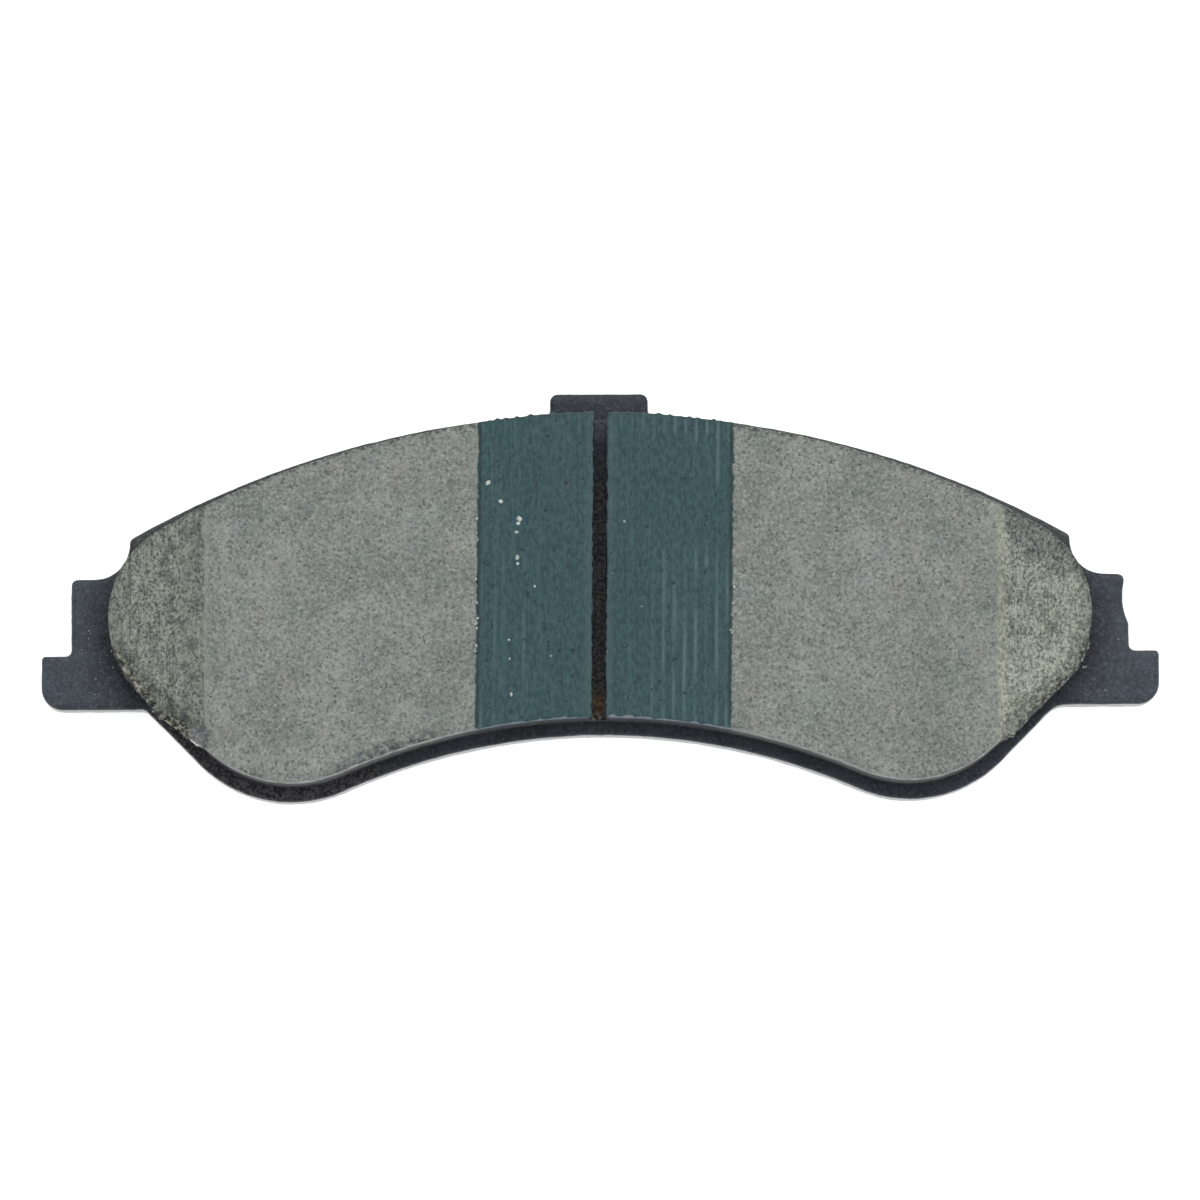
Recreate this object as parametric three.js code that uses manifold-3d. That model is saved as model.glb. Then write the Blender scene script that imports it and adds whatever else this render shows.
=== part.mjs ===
// Disc brake pad for a passenger-car calliper, in millimetres, as a stack of bonded layers.
//
// The pad lies on its back: the shim's face is at z = 0 and the friction face looks up. X runs along
// the pad, Y points away from the rotor's axis, towards the tab, and the origin is under the middle
// of the outline. From the bottom up: a laminated shim, the steel backing plate with its hammerhead
// ears, an underlayer keyed into the plate, two friction blocks with a slot between them, and a
// burnish coat on the middle of the blocks.

import * as THREE from "three";
import { mergeVertices } from "three/addons/utils/BufferGeometryUtils.js";
import Module from "manifold-3d";

const wasm = await Module();
wasm.setup();

// ---- driving dimensions ----------------------------------------------------------------------

const degrees = Math.PI / 180;
const point = (x, y) => new THREE.Vector2(x, y);

// Arcs about the rotor's axis. The outer one just clears the rim of a 288 mm rotor.
const ROTOR_AXIS = point(0, -115.25);
const PLATE_OUTER_RADIUS = 142.9;
const PLATE_INNER_RADIUS = 94.5;

// The plate's two lower lobes, the slopes from them up to the ears, and the shoulders.
const LOBE_CENTRE = point(46.33, -11.25);
const PLATE_LOBE_RADIUS = 19.35;
const SLOPE_ANGLE = 45.5 * degrees;
const SHOULDER_X = 70.5;
const SHOULDER_FOOT_X = 71.0;
const SHOULDER_CORNER_RADIUS = 0.8;
const SHOULDER_FOOT_RADIUS = 5.1;

// The hammerhead ears that slide in the calliper bracket.
const EAR_TOP_Y = 3.1;
const EAR_BOTTOM_Y = -16.55;
const NECK_X = 79.3;
const HAMMER_X = 83.8;
const HAMMER_TOP_Y = -8.45;
const EAR_CORNER_RADIUS = 0.9;
const HAMMER_CORNER_RADIUS = 0.6;
const HAMMER_HEEL_RADIUS = 3.2;
const HAMMER_THROAT_RADIUS = 0.9;
const EAR_FOOT_RADIUS = 1.2;

// A shallow hollow down the outer side of the right ear's neck only.
const HOLLOW_TOP_X = 79.0;
const HOLLOW_FOOT_Y = -4.4;
const HOLLOW_DEPTH = 0.75;

// The tab at the middle of the outer edge.
const TAB_HALF_WIDTH = 7.35;
const TAB_TOP_Y = 30.6;
const TAB_CORNER_RADIUS = 1.1;
const TAB_FOOT_RADIUS = 0.7;

// The friction blocks' outline, with an even margin inside the plate's lower edge.
const LOWER_MARGIN = 2.1;
const FACE_INNER_RADIUS = PLATE_INNER_RADIUS + LOWER_MARGIN;
const FACE_LOBE_CENTRE = point(46.1, -10.05);
const FACE_LOBE_RADIUS = 18.25;
const FACE_TOP_CENTRE = point(0, -111.32);
const FACE_TOP_RADIUS = 137.87;
const NOSE_CENTRE = point(58.85, -3.175);
const NOSE_RADIUS = FACE_TOP_RADIUS - NOSE_CENTRE.distanceTo(FACE_TOP_CENTRE);
const CHAMFER_START_X = 59.2;
const CHAMFER_DEPTH = 4.0;

// The slot and the coat's two outer borders aren't quite square to the plate: each one's outer end
// leans towards the right ear. Their x is given at the blocks' half height.
const SLOT_WIDTH = 2.1;
const SLOT_X = -0.04;
const SLOT_LEAN = 0.7 * degrees;
const COAT_LEFT_X = -18.3;
const COAT_RIGHT_X = 19.8;
const COAT_LEAN = 0.9 * degrees;
const HALF_HEIGHT_Y = 4.0;

// Layer thicknesses from the bottom up, with how far each shim layer stands out past the blocks'
// outline: the adhesive and the damping core are set back from the steel sheets' edges.
const SHIM_LAYERS = [
  { name: "shim_rubber_coat", thickness: 0.15, grow: 0.4, color: 0x1b1c1d, roughness: 0.85, metalness: 0 },
  { name: "shim_outer_steel", thickness: 0.3, grow: 0.4, color: 0x8e9194, roughness: 0.4, metalness: 0.9 },
  { name: "shim_damping_core", thickness: 0.15, grow: 0.15, color: 0x232221, roughness: 0.8, metalness: 0 },
  { name: "shim_inner_steel", thickness: 0.3, grow: 0.4, color: 0x8e9194, roughness: 0.4, metalness: 0.9 },
  { name: "shim_adhesive", thickness: 0.1, grow: -0.8, color: 0xb9a877, roughness: 0.5, metalness: 0 },
];
const PLATE_THICKNESS = 6.0;
const UNDERLAYER_THICKNESS = 2.0;
const FRICTION_THICKNESS = 8.8;
const COAT_THICKNESS = 0.2;

// Retention holes in the plate, and the underlayer's plugs that fill them.
const RETENTION_HOLES = [point(-46, -9), point(-17, 2), point(17, 2), point(46, -9)];
const HOLE_RADIUS = 5.6;
const PLUG_CLEARANCE = 0.3;
const PLUG_RECESS = 0.4;
const HOLE_SIDES = 32;

// Largest distance between a true arc and the straight steps that stand for it.
const CHORD_TOLERANCE = 0.02;

// ---- outlines --------------------------------------------------------------------------------

const direction = (from, to) => to.clone().sub(from).normalize();
const along = (from, unit, distance) => from.clone().addScaledVector(unit, distance);
const mirrored = (points) => points.map((p) => point(-p.x, p.y)).reverse();

/** The point of a circle's upper side at a given x. */
function onCircle(centre, radius, x) {
  return point(x, centre.y + Math.sqrt(radius ** 2 - (x - centre.x) ** 2));
}

/** Points on the shorter arc about a centre, both ends included. */
function arc(centre, start, end) {
  const radius = start.distanceTo(centre);
  const from = Math.atan2(start.y - centre.y, start.x - centre.x);
  const to = Math.atan2(end.y - centre.y, end.x - centre.x);
  const turn = Math.atan2(Math.sin(to - from), Math.cos(to - from));
  const step = 2 * Math.acos(1 - CHORD_TOLERANCE / radius);
  const steps = Math.max(1, Math.ceil(Math.abs(turn) / step));
  return Array.from({ length: steps + 1 }, (_, i) => {
    const angle = from + (turn * i) / steps;
    return point(centre.x + radius * Math.cos(angle), centre.y + radius * Math.sin(angle));
  });
}

/** The fillet arc that replaces a corner between two neighbouring points. */
function fillet(before, corner, after, radius) {
  const back = direction(corner, before);
  const ahead = direction(corner, after);
  const halfAngle = Math.acos(back.dot(ahead)) / 2;
  const centre = along(corner, back.clone().add(ahead).normalize(), radius / Math.sin(halfAngle));
  const reach = radius / Math.tan(halfAngle);
  return arc(centre, along(corner, back, reach), along(corner, ahead, reach));
}

/** A chain of points and { corner, radius } entries, with each such corner rounded. */
function rounded(chain) {
  const place = (entry) => entry.corner ?? entry;
  return chain.flatMap((entry, i) => {
    if (!entry.corner) {
      return [entry];
    }
    return fillet(place(chain[i - 1]), entry.corner, place(chain[i + 1]), entry.radius);
  });
}

/** An arc from one point to another that bows towards -X by a given depth at its middle. */
function hollow(from, to, depth) {
  const chord = from.distanceTo(to);
  const radius = (chord ** 2 / 4 + depth ** 2) / (2 * depth);
  const middle = from.clone().add(to).multiplyScalar(0.5);
  const chordDirection = direction(from, to);
  const outward = point(chordDirection.y, -chordDirection.x);
  const side = Math.sign(outward.x);
  return arc(along(middle, outward, side * (radius - depth)), from, to);
}

/** Normal of the straight that crosses between two circles, touching one on each side. */
function crossingNormal(centreA, radiusA, centreB, radiusB) {
  const gap = centreA.distanceTo(centreB);
  return direction(centreA, centreB).rotateAround(point(0, 0), Math.acos((radiusA + radiusB) / gap));
}

/** Normal of the straight that runs along the outer side of two circles. */
function outerNormal(centreA, radiusA, centreB, radiusB) {
  const gap = centreA.distanceTo(centreB);
  return direction(centreA, centreB).rotateAround(point(0, 0), -Math.acos((radiusA - radiusB) / gap));
}

/** The right ear's side, from its heel up to its top corner, plain or with the hollow. */
function neckSide(withHollow) {
  const throat = { corner: point(NECK_X, HAMMER_TOP_Y), radius: HAMMER_THROAT_RADIUS };
  if (!withHollow) {
    return [throat, { corner: point(NECK_X, EAR_TOP_Y), radius: EAR_CORNER_RADIUS }];
  }
  const foot = point(NECK_X, HOLLOW_FOOT_Y);
  const top = point(HOLLOW_TOP_X, EAR_TOP_Y);
  const bow = hollow(foot, top, HOLLOW_DEPTH);
  return [throat, ...bow.slice(0, -1), { corner: top, radius: EAR_CORNER_RADIUS }];
}

/** Right half of the plate's outline, anticlockwise from the inner edge to the tab. */
function plateHalf(withHollow) {
  const inner = crossingNormal(ROTOR_AXIS, PLATE_INNER_RADIUS, LOBE_CENTRE, PLATE_LOBE_RADIUS);
  const slope = point(Math.sin(SLOPE_ANGLE), -Math.cos(SLOPE_ANGLE));
  const lobeEnd = along(LOBE_CENTRE, slope, PLATE_LOBE_RADIUS);
  const earFootX = lobeEnd.x + (EAR_BOTTOM_Y - lobeEnd.y) / Math.tan(SLOPE_ANGLE);
  const innerMiddle = point(0, ROTOR_AXIS.y + PLATE_INNER_RADIUS);
  const shoulder = onCircle(ROTOR_AXIS, PLATE_OUTER_RADIUS, SHOULDER_X);
  const tabFoot = onCircle(ROTOR_AXIS, PLATE_OUTER_RADIUS, TAB_HALF_WIDTH);
  return rounded([
    ...arc(ROTOR_AXIS, innerMiddle, along(ROTOR_AXIS, inner, PLATE_INNER_RADIUS)),
    ...arc(LOBE_CENTRE, along(LOBE_CENTRE, inner, -PLATE_LOBE_RADIUS), lobeEnd),
    { corner: point(earFootX, EAR_BOTTOM_Y), radius: EAR_FOOT_RADIUS },
    { corner: point(HAMMER_X, EAR_BOTTOM_Y), radius: HAMMER_HEEL_RADIUS },
    { corner: point(HAMMER_X, HAMMER_TOP_Y), radius: HAMMER_CORNER_RADIUS },
    ...neckSide(withHollow),
    { corner: point(SHOULDER_FOOT_X, EAR_TOP_Y), radius: SHOULDER_FOOT_RADIUS },
    { corner: shoulder, radius: SHOULDER_CORNER_RADIUS },
    ...arc(ROTOR_AXIS, shoulder, tabFoot).slice(1, -1),
    { corner: tabFoot, radius: TAB_FOOT_RADIUS },
    { corner: point(TAB_HALF_WIDTH, TAB_TOP_Y), radius: TAB_CORNER_RADIUS },
    point(0, TAB_TOP_Y),
  ]);
}

const innerEdge = (x) => onCircle(ROTOR_AXIS, FACE_INNER_RADIUS, x);
const outerEdge = (x) => onCircle(FACE_TOP_CENTRE, FACE_TOP_RADIUS, x);

/** A line across the blocks, at a given x and lean, as the x where it meets each long edge. */
function lineAcross(x, lean) {
  const shift = (edge) => Math.tan(lean) * (edge(x).y - HALF_HEIGHT_Y);
  return { innerX: x + shift(innerEdge), outerX: x + shift(outerEdge) };
}

const flipped = ({ innerX, outerX }) => ({ innerX: -innerX, outerX: -outerX });

const SLOT_LEFT_SIDE = lineAcross(SLOT_X - SLOT_WIDTH / 2, SLOT_LEAN);
const SLOT_RIGHT_SIDE = lineAcross(SLOT_X + SLOT_WIDTH / 2, SLOT_LEAN);
const MIDDLE = lineAcross(0, 0);

/** Right half of the blocks' outline beyond a line across it, grown evenly by a distance. */
function blockHalf({ innerX, outerX }, grow = 0) {
  const innerRadius = FACE_INNER_RADIUS - grow;
  const lobeRadius = FACE_LOBE_RADIUS + grow;
  const noseRadius = NOSE_RADIUS + grow;
  const topRadius = FACE_TOP_RADIUS + grow;
  const inner = crossingNormal(ROTOR_AXIS, innerRadius, FACE_LOBE_CENTRE, lobeRadius);
  const slope = outerNormal(FACE_LOBE_CENTRE, lobeRadius, NOSE_CENTRE, noseRadius);
  const top = direction(FACE_TOP_CENTRE, NOSE_CENTRE);
  const lobeStart = along(FACE_LOBE_CENTRE, inner, -lobeRadius);
  const lobeEnd = along(FACE_LOBE_CENTRE, slope, lobeRadius);
  const innerStart = onCircle(ROTOR_AXIS, innerRadius, innerX);
  const outerEnd = onCircle(FACE_TOP_CENTRE, topRadius, outerX);
  return [
    ...arc(ROTOR_AXIS, innerStart, along(ROTOR_AXIS, inner, innerRadius)),
    ...arc(FACE_LOBE_CENTRE, lobeStart, lobeEnd),
    ...arc(NOSE_CENTRE, along(NOSE_CENTRE, slope, noseRadius), along(NOSE_CENTRE, top, noseRadius)),
    ...arc(FACE_TOP_CENTRE, along(FACE_TOP_CENTRE, top, topRadius), outerEnd),
  ];
}

/** The strip of the blocks' outline between two lines across it, the left one first. */
function stripBetween(left, right) {
  return [
    ...arc(ROTOR_AXIS, innerEdge(left.innerX), innerEdge(right.innerX)),
    ...arc(FACE_TOP_CENTRE, outerEdge(right.outerX), outerEdge(left.outerX)),
  ];
}

// ---- solids ----------------------------------------------------------------------------------

/** A shape from outline points, leaving out points that repeat the one before them. */
function shapeOf(points) {
  const distinct = points.filter((p, i) => p.distanceTo(points[(i + 1) % points.length]) > 1e-4);
  return new THREE.Shape(distinct);
}

const slab = (shape, depth) => new THREE.ExtrudeGeometry(shape, { depth, bevelEnabled: false });

/** A three.js geometry as a manifold solid, for a boolean. */
function toSolid(geometry) {
  const bare = geometry.clone();
  bare.deleteAttribute("normal");
  bare.deleteAttribute("uv");
  const merged = mergeVertices(bare, 1e-5);
  return new wasm.Manifold(new wasm.Mesh({
    numProp: 3,
    vertProperties: merged.attributes.position.array,
    triVerts: new Uint32Array(merged.index.array),
  }));
}

/** A manifold solid back as a three.js geometry. */
function toGeometry(solid) {
  const mesh = solid.getMesh();
  const geometry = new THREE.BufferGeometry();
  geometry.setAttribute("position", new THREE.BufferAttribute(mesh.vertProperties, mesh.numProp));
  geometry.setIndex(new THREE.BufferAttribute(mesh.triVerts, 1));
  geometry.computeVertexNormals();
  return geometry;
}

/** The backing plate, with its retention holes. */
function backingPlateGeometry() {
  const shape = shapeOf([...plateHalf(true), ...mirrored(plateHalf(false))]);
  shape.holes = RETENTION_HOLES.map((centre) => {
    const rim = Array.from({ length: HOLE_SIDES }, (_, i) => {
      const angle = (-2 * Math.PI * i) / HOLE_SIDES;
      return point(centre.x + HOLE_RADIUS * Math.cos(angle), centre.y + HOLE_RADIUS * Math.sin(angle));
    });
    return new THREE.Path(rim);
  });
  return slab(shape, PLATE_THICKNESS);
}

/** The underlayer, with a plug for each retention hole reaching down into the plate. */
function underlayerGeometry() {
  const half = blockHalf(MIDDLE);
  const sheet = slab(shapeOf([...half, ...mirrored(half)]), UNDERLAYER_THICKNESS);
  const depth = PLATE_THICKNESS - PLUG_RECESS;
  const length = depth + UNDERLAYER_THICKNESS / 2;
  const plugs = RETENTION_HOLES.map((centre) => {
    const plug = new THREE.CylinderGeometry(
      HOLE_RADIUS - PLUG_CLEARANCE, HOLE_RADIUS - PLUG_CLEARANCE, length, HOLE_SIDES);
    plug.rotateX(Math.PI / 2);
    plug.translate(centre.x, centre.y, length / 2 - depth);
    return toSolid(plug);
  });
  return toGeometry(plugs.reduce((body, plug) => body.add(plug), toSolid(sheet)));
}

/** A friction block beyond its side of the slot: a slab, its outer end ground to a long chamfer. */
function frictionBlockGeometry(slotSide) {
  const block = slab(shapeOf(blockHalf(slotSide)), FRICTION_THICKNESS);
  const noseX = NOSE_CENTRE.x + NOSE_RADIUS;
  const slope = CHAMFER_DEPTH / (noseX - CHAMFER_START_X);
  const overrun = 5;
  const endX = noseX + overrun;
  const ground = new THREE.Shape([
    point(CHAMFER_START_X - overrun, FRICTION_THICKNESS + slope * overrun),
    point(endX, FRICTION_THICKNESS - slope * (endX - CHAMFER_START_X)),
    point(endX, FRICTION_THICKNESS + overrun),
    point(CHAMFER_START_X - overrun, FRICTION_THICKNESS + overrun),
  ]);
  const width = 2 * FACE_TOP_RADIUS;
  const wedge = slab(ground, width);
  wedge.rotateX(Math.PI / 2);
  wedge.translate(0, width / 2, 0);
  return toGeometry(toSolid(block).subtract(toSolid(wedge)));
}

/** A geometry seen in a mirror across x = 0, with its faces still pointing out. */
function mirroredGeometry(geometry) {
  const mirror = geometry.index ? geometry.toNonIndexed() : geometry.clone();
  const position = mirror.attributes.position;
  const corners = Array.from({ length: position.count }, (_, i) =>
    [-position.getX(i), position.getY(i), position.getZ(i)]);
  for (let i = 0; i < corners.length; i += 3) {
    [corners[i + 1], corners[i + 2]] = [corners[i + 2], corners[i + 1]];
  }
  position.array.set(corners.flat());
  mirror.computeVertexNormals();
  return mirror;
}

// ---- the pad ---------------------------------------------------------------------------------

const pad = new THREE.Group();

function addPart(name, geometry, z, { color, roughness, metalness }) {
  const material = new THREE.MeshStandardMaterial({ color, roughness, metalness });
  const mesh = new THREE.Mesh(geometry, material);
  mesh.name = name;
  mesh.position.z = z;
  pad.add(mesh);
}

let height = 0;
for (const layer of SHIM_LAYERS) {
  const half = blockHalf(MIDDLE, layer.grow);
  addPart(layer.name, slab(shapeOf([...half, ...mirrored(half)]), layer.thickness), height, layer);
  height += layer.thickness;
}

const PAINTED_STEEL = { color: 0x3d4247, roughness: 0.5, metalness: 0.1 };
addPart("backing_plate", backingPlateGeometry(), height, PAINTED_STEEL);
height += PLATE_THICKNESS;

const UNDERLAYER = { color: 0x2b2824, roughness: 0.95, metalness: 0 };
addPart("underlayer", underlayerGeometry(), height, UNDERLAYER);
height += UNDERLAYER_THICKNESS;

const FRICTION = { color: 0x828782, roughness: 0.9, metalness: 0 };
const leftBlock = mirroredGeometry(frictionBlockGeometry(flipped(SLOT_LEFT_SIDE)));
addPart("friction_block_left", leftBlock, height, FRICTION);
addPart("friction_block_right", frictionBlockGeometry(SLOT_RIGHT_SIDE), height, FRICTION);
height += FRICTION_THICKNESS;

const COAT = { color: 0x42595c, roughness: 0.6, metalness: 0 };
const leftStrip = shapeOf(stripBetween(lineAcross(COAT_LEFT_X, COAT_LEAN), SLOT_LEFT_SIDE));
const rightStrip = shapeOf(stripBetween(SLOT_RIGHT_SIDE, lineAcross(COAT_RIGHT_X, COAT_LEAN)));
addPart("burnish_coat_left", slab(leftStrip, COAT_THICKNESS), height, COAT);
addPart("burnish_coat_right", slab(rightStrip, COAT_THICKNESS), height, COAT);

export default pad;
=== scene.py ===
"""A disc brake pad lying on its back on a white table, seen from above in soft light.

Each piece is built round the CAD node that it stands for: its outline and its heights come from the
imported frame, and this script adds the moulded, ground, painted and brushed surfaces. Lengths are in
millimetres until a mesh is made. Colours are screen colours, 0 to 255, until a shader takes them.
"""
import math

import bmesh
import bpy
import numpy as np
from mathutils import Euler, Matrix, Vector
from mathutils.geometry import delaunay_2d_cdt
from mathutils.kdtree import KDTree


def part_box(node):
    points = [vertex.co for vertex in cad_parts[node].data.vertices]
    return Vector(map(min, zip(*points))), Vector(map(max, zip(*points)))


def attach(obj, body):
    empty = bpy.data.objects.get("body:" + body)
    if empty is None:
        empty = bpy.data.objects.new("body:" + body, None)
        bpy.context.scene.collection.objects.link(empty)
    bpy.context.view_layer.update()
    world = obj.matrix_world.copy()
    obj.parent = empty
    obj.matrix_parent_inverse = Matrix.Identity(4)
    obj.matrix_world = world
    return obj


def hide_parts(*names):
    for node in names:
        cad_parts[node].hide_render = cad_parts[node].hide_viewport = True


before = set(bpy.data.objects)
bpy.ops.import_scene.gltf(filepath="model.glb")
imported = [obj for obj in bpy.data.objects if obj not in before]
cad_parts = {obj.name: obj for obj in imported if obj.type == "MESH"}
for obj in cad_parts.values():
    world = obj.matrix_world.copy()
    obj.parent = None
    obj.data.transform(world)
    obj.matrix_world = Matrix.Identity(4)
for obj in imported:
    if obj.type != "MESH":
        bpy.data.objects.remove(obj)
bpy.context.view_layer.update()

MM = 0.001

# ---- driving sizes and places, in millimetres unless a comment says otherwise ----

# Which way each side lies from the slot. An edge faces along an axis when its outward direction has
# more than this share along it.
SIGN = {"left": -1, "right": 1}
FACING = 0.6

# The blocks' outer edge is the part of their outline beyond this y.
OUTER_EDGE_FROM_Y = 12.0

# The camera looks down on the pad, leans a little towards its inner edge and rolls a little.
CAMERA_DISTANCE = 1550.0
CAMERA_LEAN = math.radians(4.5)
CAMERA_ROLL = math.radians(0.33)
VIEW_WIDTH = 180.0
VIEW_CENTRE_Y = -0.45
SENSOR_WIDTH = 36.0

# The table lies a hair below the shim. It and the white surround give this much light.
TABLE_GAP = 0.03
TABLE_REACH = 4000.0
TABLE_GLOW = 0.7
SURROUND = 0.66

# Each softbox's place and width in metres, and its power in watts.
SOFTBOXES = {
    "key_softbox": ((0.12, 0.7, 1.3), 0.8, 8.6),
    "fill_softbox": ((1.2, -0.1, 1.0), 0.8, 2.8),
}

# The plate's edge is rolled by these radii. The corner where the right ear's foot meets the lobe is
# rounded, and the left one is sharp.
PLATE_LOWER_RADIUS = 0.25
PLATE_UPPER_RADIUS = 0.55
ROUND_CORNER = (67.4, -16.55)

# A painted shadow on the left ear, a dark streak beside the block's nose, as its ends in X and in Y.
SHADOW_STREAK_X = (-75.0, -74.0)
SHADOW_STREAK_Y = (-7.6, -4.8)

# The chamfers drop this far to the blocks' noses. The left one has a long scratch along Y.
CHAMFER_DROP = 4.0
SCRATCH_X = (-70.45, -69.9)

# The ground face's edge lies this far inside the moulded outline, above a wall of this many rows.
EDGE_INSET = 0.22
WALL_ROWS = 20

# How badly the slope below each chamfer has crumbled, and the grains that cling to it.
CRUMBLING = {"left": 1.0, "right": 0.9}
EDGE_CRUMBS = {"left": 56, "right": 30}
HANGING_CRUMBS = 90

# Small pits in each ground face: how many, and their least and most radius and depth.
PIT_COUNT = 900
PIT_RADIUS = (0.35, 0.6)
PIT_DEPTH = (0.02, 0.09)

# The slot and the coat's borders lean this much towards +X at their outer ends, about one y.
BRUSH_LEAN = math.radians(0.8)
LEAN_PIVOT_Y = 4.0
# Half the width of the strip round x = 0 that holds the slot, lean included.
SLOT_REACH = 1.8

# The brush left a short ridge every RIDGE_PITCH from the one nearest the right border. RIDGE_DRAWS
# random lengths are drawn for them, and that ridge takes the one numbered FIRST_DRAW.
RIDGE_PITCH = 1.59
LAST_RIDGE_X = 19.0
RIDGE_DRAWS = 60
FIRST_DRAW = 26
# The x of the long ridges on each coat's lower half, how high they are, and the x of one at the top.
LONG_RIDGES = {
    "left": (-17.6, -15.6, -14.4, -11.3),
    "right": (19.0, 17.45, 15.85, 14.3, 12.7, 11.1, 9.55, 7.9),
}
LONG_RIDGE_HEIGHT = {"left": 0.55, "right": 1.0}
OUTER_RIDGE_X = 17.45

# Pale flecks where the coat is knocked off: x, y, and half the width and height.
COAT_FLECKS = {
    "left": [
        (-16.6, 16.3, 0.34, 0.4), (-14.7, 13.5, 0.36, 0.36), (-11.95, 10.9, 0.4, 0.42),
        (-12.1, 10.2, 0.3, 0.35), (-12.4, 8.9, 0.28, 0.22), (-12.3, 5.1, 0.26, 0.42),
        (-12.2, 4.2, 0.2, 0.25), (-9.7, 0.8, 0.16, 0.18), (-13.6, -7.2, 0.16, 0.14),
        (-7.4, -9.6, 0.13, 0.13), (-13.5, -10.0, 0.14, 0.16), (-13.3, -15.3, 0.22, 0.3),
    ],
    "right": [(3.7, 10.4, 0.18, 0.14), (6.2, -2.3, 0.12, 0.12), (19.4, -5.9, 0.16, 0.16)],
}
# Small random flecks lie along each coat's border with its block, whose x is at the lean's pivot.
BORDER_FLECKS = {"left": 12, "right": 3}
BORDER_X = {"left": -18.35, "right": 19.85}

# Grinding dust on the ears: the large specks' x, y and radius, and how many specks each ear has.
LARGE_SPECKS = {
    "left": [(-76.4, -5.1, 0.2), (-75.7, -11.8, 0.2), (-73.7, -11.7, 0.14), (-73.2, -7.7, 0.24)],
    "right": [(72.5, -10.9, 0.22)],
}
SPECK_COUNT = {"left": 46, "right": 14}
EAR_X = (68.0, 78.5)
EAR_Y = (-15.8, 2.4)

# The smear of resin on the left block's lower corner.
SMEAR_CENTRE = (-59.3, -21.4)
SMEAR_RADII = (2.1, 1.5)
SMEAR_LEAN = math.radians(-38)

# Curled shavings hanging from the right block's slope: x, y, heading in degrees and radius.
SHAVINGS = [(61.1, -21.6, 300, 0.42), (72.2, -11.2, 285, 0.3)]
SHAVING_STEPS = 12
SHAVING_BEND = math.radians(150)
SHAVING_THICKNESS = 0.13

# Each kind of random detail has its own seed on each side.
BLOCK_SEED = {"left": 100, "right": 200}
EDGE_SEED = {"left": 120, "right": 220}
PIT_SEED = {"left": 140, "right": 240}
COAT_SEED = {"left": 300, "right": 400}
CRUMB_SEED = {"left": 500, "right": 600}
HANGING_SEED = 650
DUST_SEED = {"left": 700, "right": 800}
FLECK_SEED = {"left": 900, "right": 950}


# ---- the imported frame, in millimetres ----

def box_mm(node):
    """A CAD node's lowest and highest corners."""
    low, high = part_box(node)
    return np.array(low) / MM, np.array(high) / MM


def cad_loop(node, top=False):
    """The outer edge of a CAD node's lowest or highest flat face, anticlockwise from above."""
    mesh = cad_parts[node].data
    places = np.array([v.co[:] for v in mesh.vertices]) / MM
    level = places[:, 2].max() if top else places[:, 2].min()
    found = {}
    ids = [found.setdefault((round(x, 3), round(y, 3)), len(found)) for x, y, _ in places.tolist()]
    edges = set()
    for face in mesh.polygons:
        if max(abs(places[v][2] - level) for v in face.vertices) < 1e-3:
            ring = [ids[v] for v in face.vertices]
            if not top:
                ring.reverse()
            edges.update(zip(ring, ring[1:] + ring[:1]))
    following = {a: b for a, b in edges if (b, a) not in edges}
    points = np.array(list(found))
    loops = []
    while following:
        start = min(following)
        loop = [start]
        here = following.pop(start)
        while here != start:
            loop.append(here)
            here = following.pop(here)
        loops.append(points[loop])
    return max(loops, key=lambda loop: np.ptp(loop[:, 0]))


def even_loop(points, spacing):
    """The same closed line with evenly spaced points."""
    closed = np.vstack([points, points[:1]])
    run = np.concatenate([[0], np.cumsum(np.linalg.norm(np.diff(closed, axis=0), axis=1))])
    count = round(run[-1] / spacing)
    stations = np.arange(count) * run[-1] / count
    return np.stack([np.interp(stations, run, closed[:, axis]) for axis in (0, 1)], axis=1)


def ease_facets(loop, reach=4, gentle_turn=math.radians(8)):
    """Smooths the CAD's straight steps out of the long arcs and leaves the tight corners alone."""
    ahead = np.roll(loop, -1, 0) - loop
    heading = np.arctan2(ahead[:, 1], ahead[:, 0])
    turn = np.roll(heading, -1) - heading
    turn = np.abs(np.arctan2(np.sin(turn), np.cos(turn)))
    shifts = range(-reach, reach + 1)
    nearby = sum(np.roll(turn, 2 * shift) + np.roll(turn, 2 * shift + 1) for shift in shifts)
    average = sum(np.roll(loop, shift, 0) for shift in shifts) / len(shifts)
    return np.where((nearby < gentle_turn)[:, None], average, loop)


def blunted(loop):
    """Each point of a loop moved to the average of itself and its two neighbours."""
    return (np.roll(loop, 1, 0) + loop + np.roll(loop, -1, 0)) / 3


def outline_of(node, spacing=0.4, top=False, blunting=0):
    """A CAD node's outline as a smooth, evenly spaced loop, its corners blunted by a few passes."""
    loop = ease_facets(even_loop(cad_loop(node, top), spacing))
    for _ in range(blunting):
        loop = blunted(loop)
    return loop


def block_outline(side):
    """The moulded outline of one friction block."""
    return outline_of(f"friction_block_{side}", blunting=2)


def outward_of(loop):
    """The outward direction at each point of an anticlockwise loop."""
    along = np.roll(loop, -1, 0) - np.roll(loop, 1, 0)
    along /= np.linalg.norm(along, axis=1)[:, None]
    return np.stack([along[:, 1], -along[:, 0]], axis=1)


PLATE_LOW, PLATE_HIGH = box_mm("backing_plate")
BLOCK_LOW, BLOCK_HIGH = box_mm("friction_block_right")
NOSE_X = BLOCK_HIGH[0]
FACE_Z = BLOCK_HIGH[2]

# The chamfers start where the block's highest flat face ends.
CHAMFER_X = cad_loop("friction_block_right", top=True)[:, 0].max()

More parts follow.
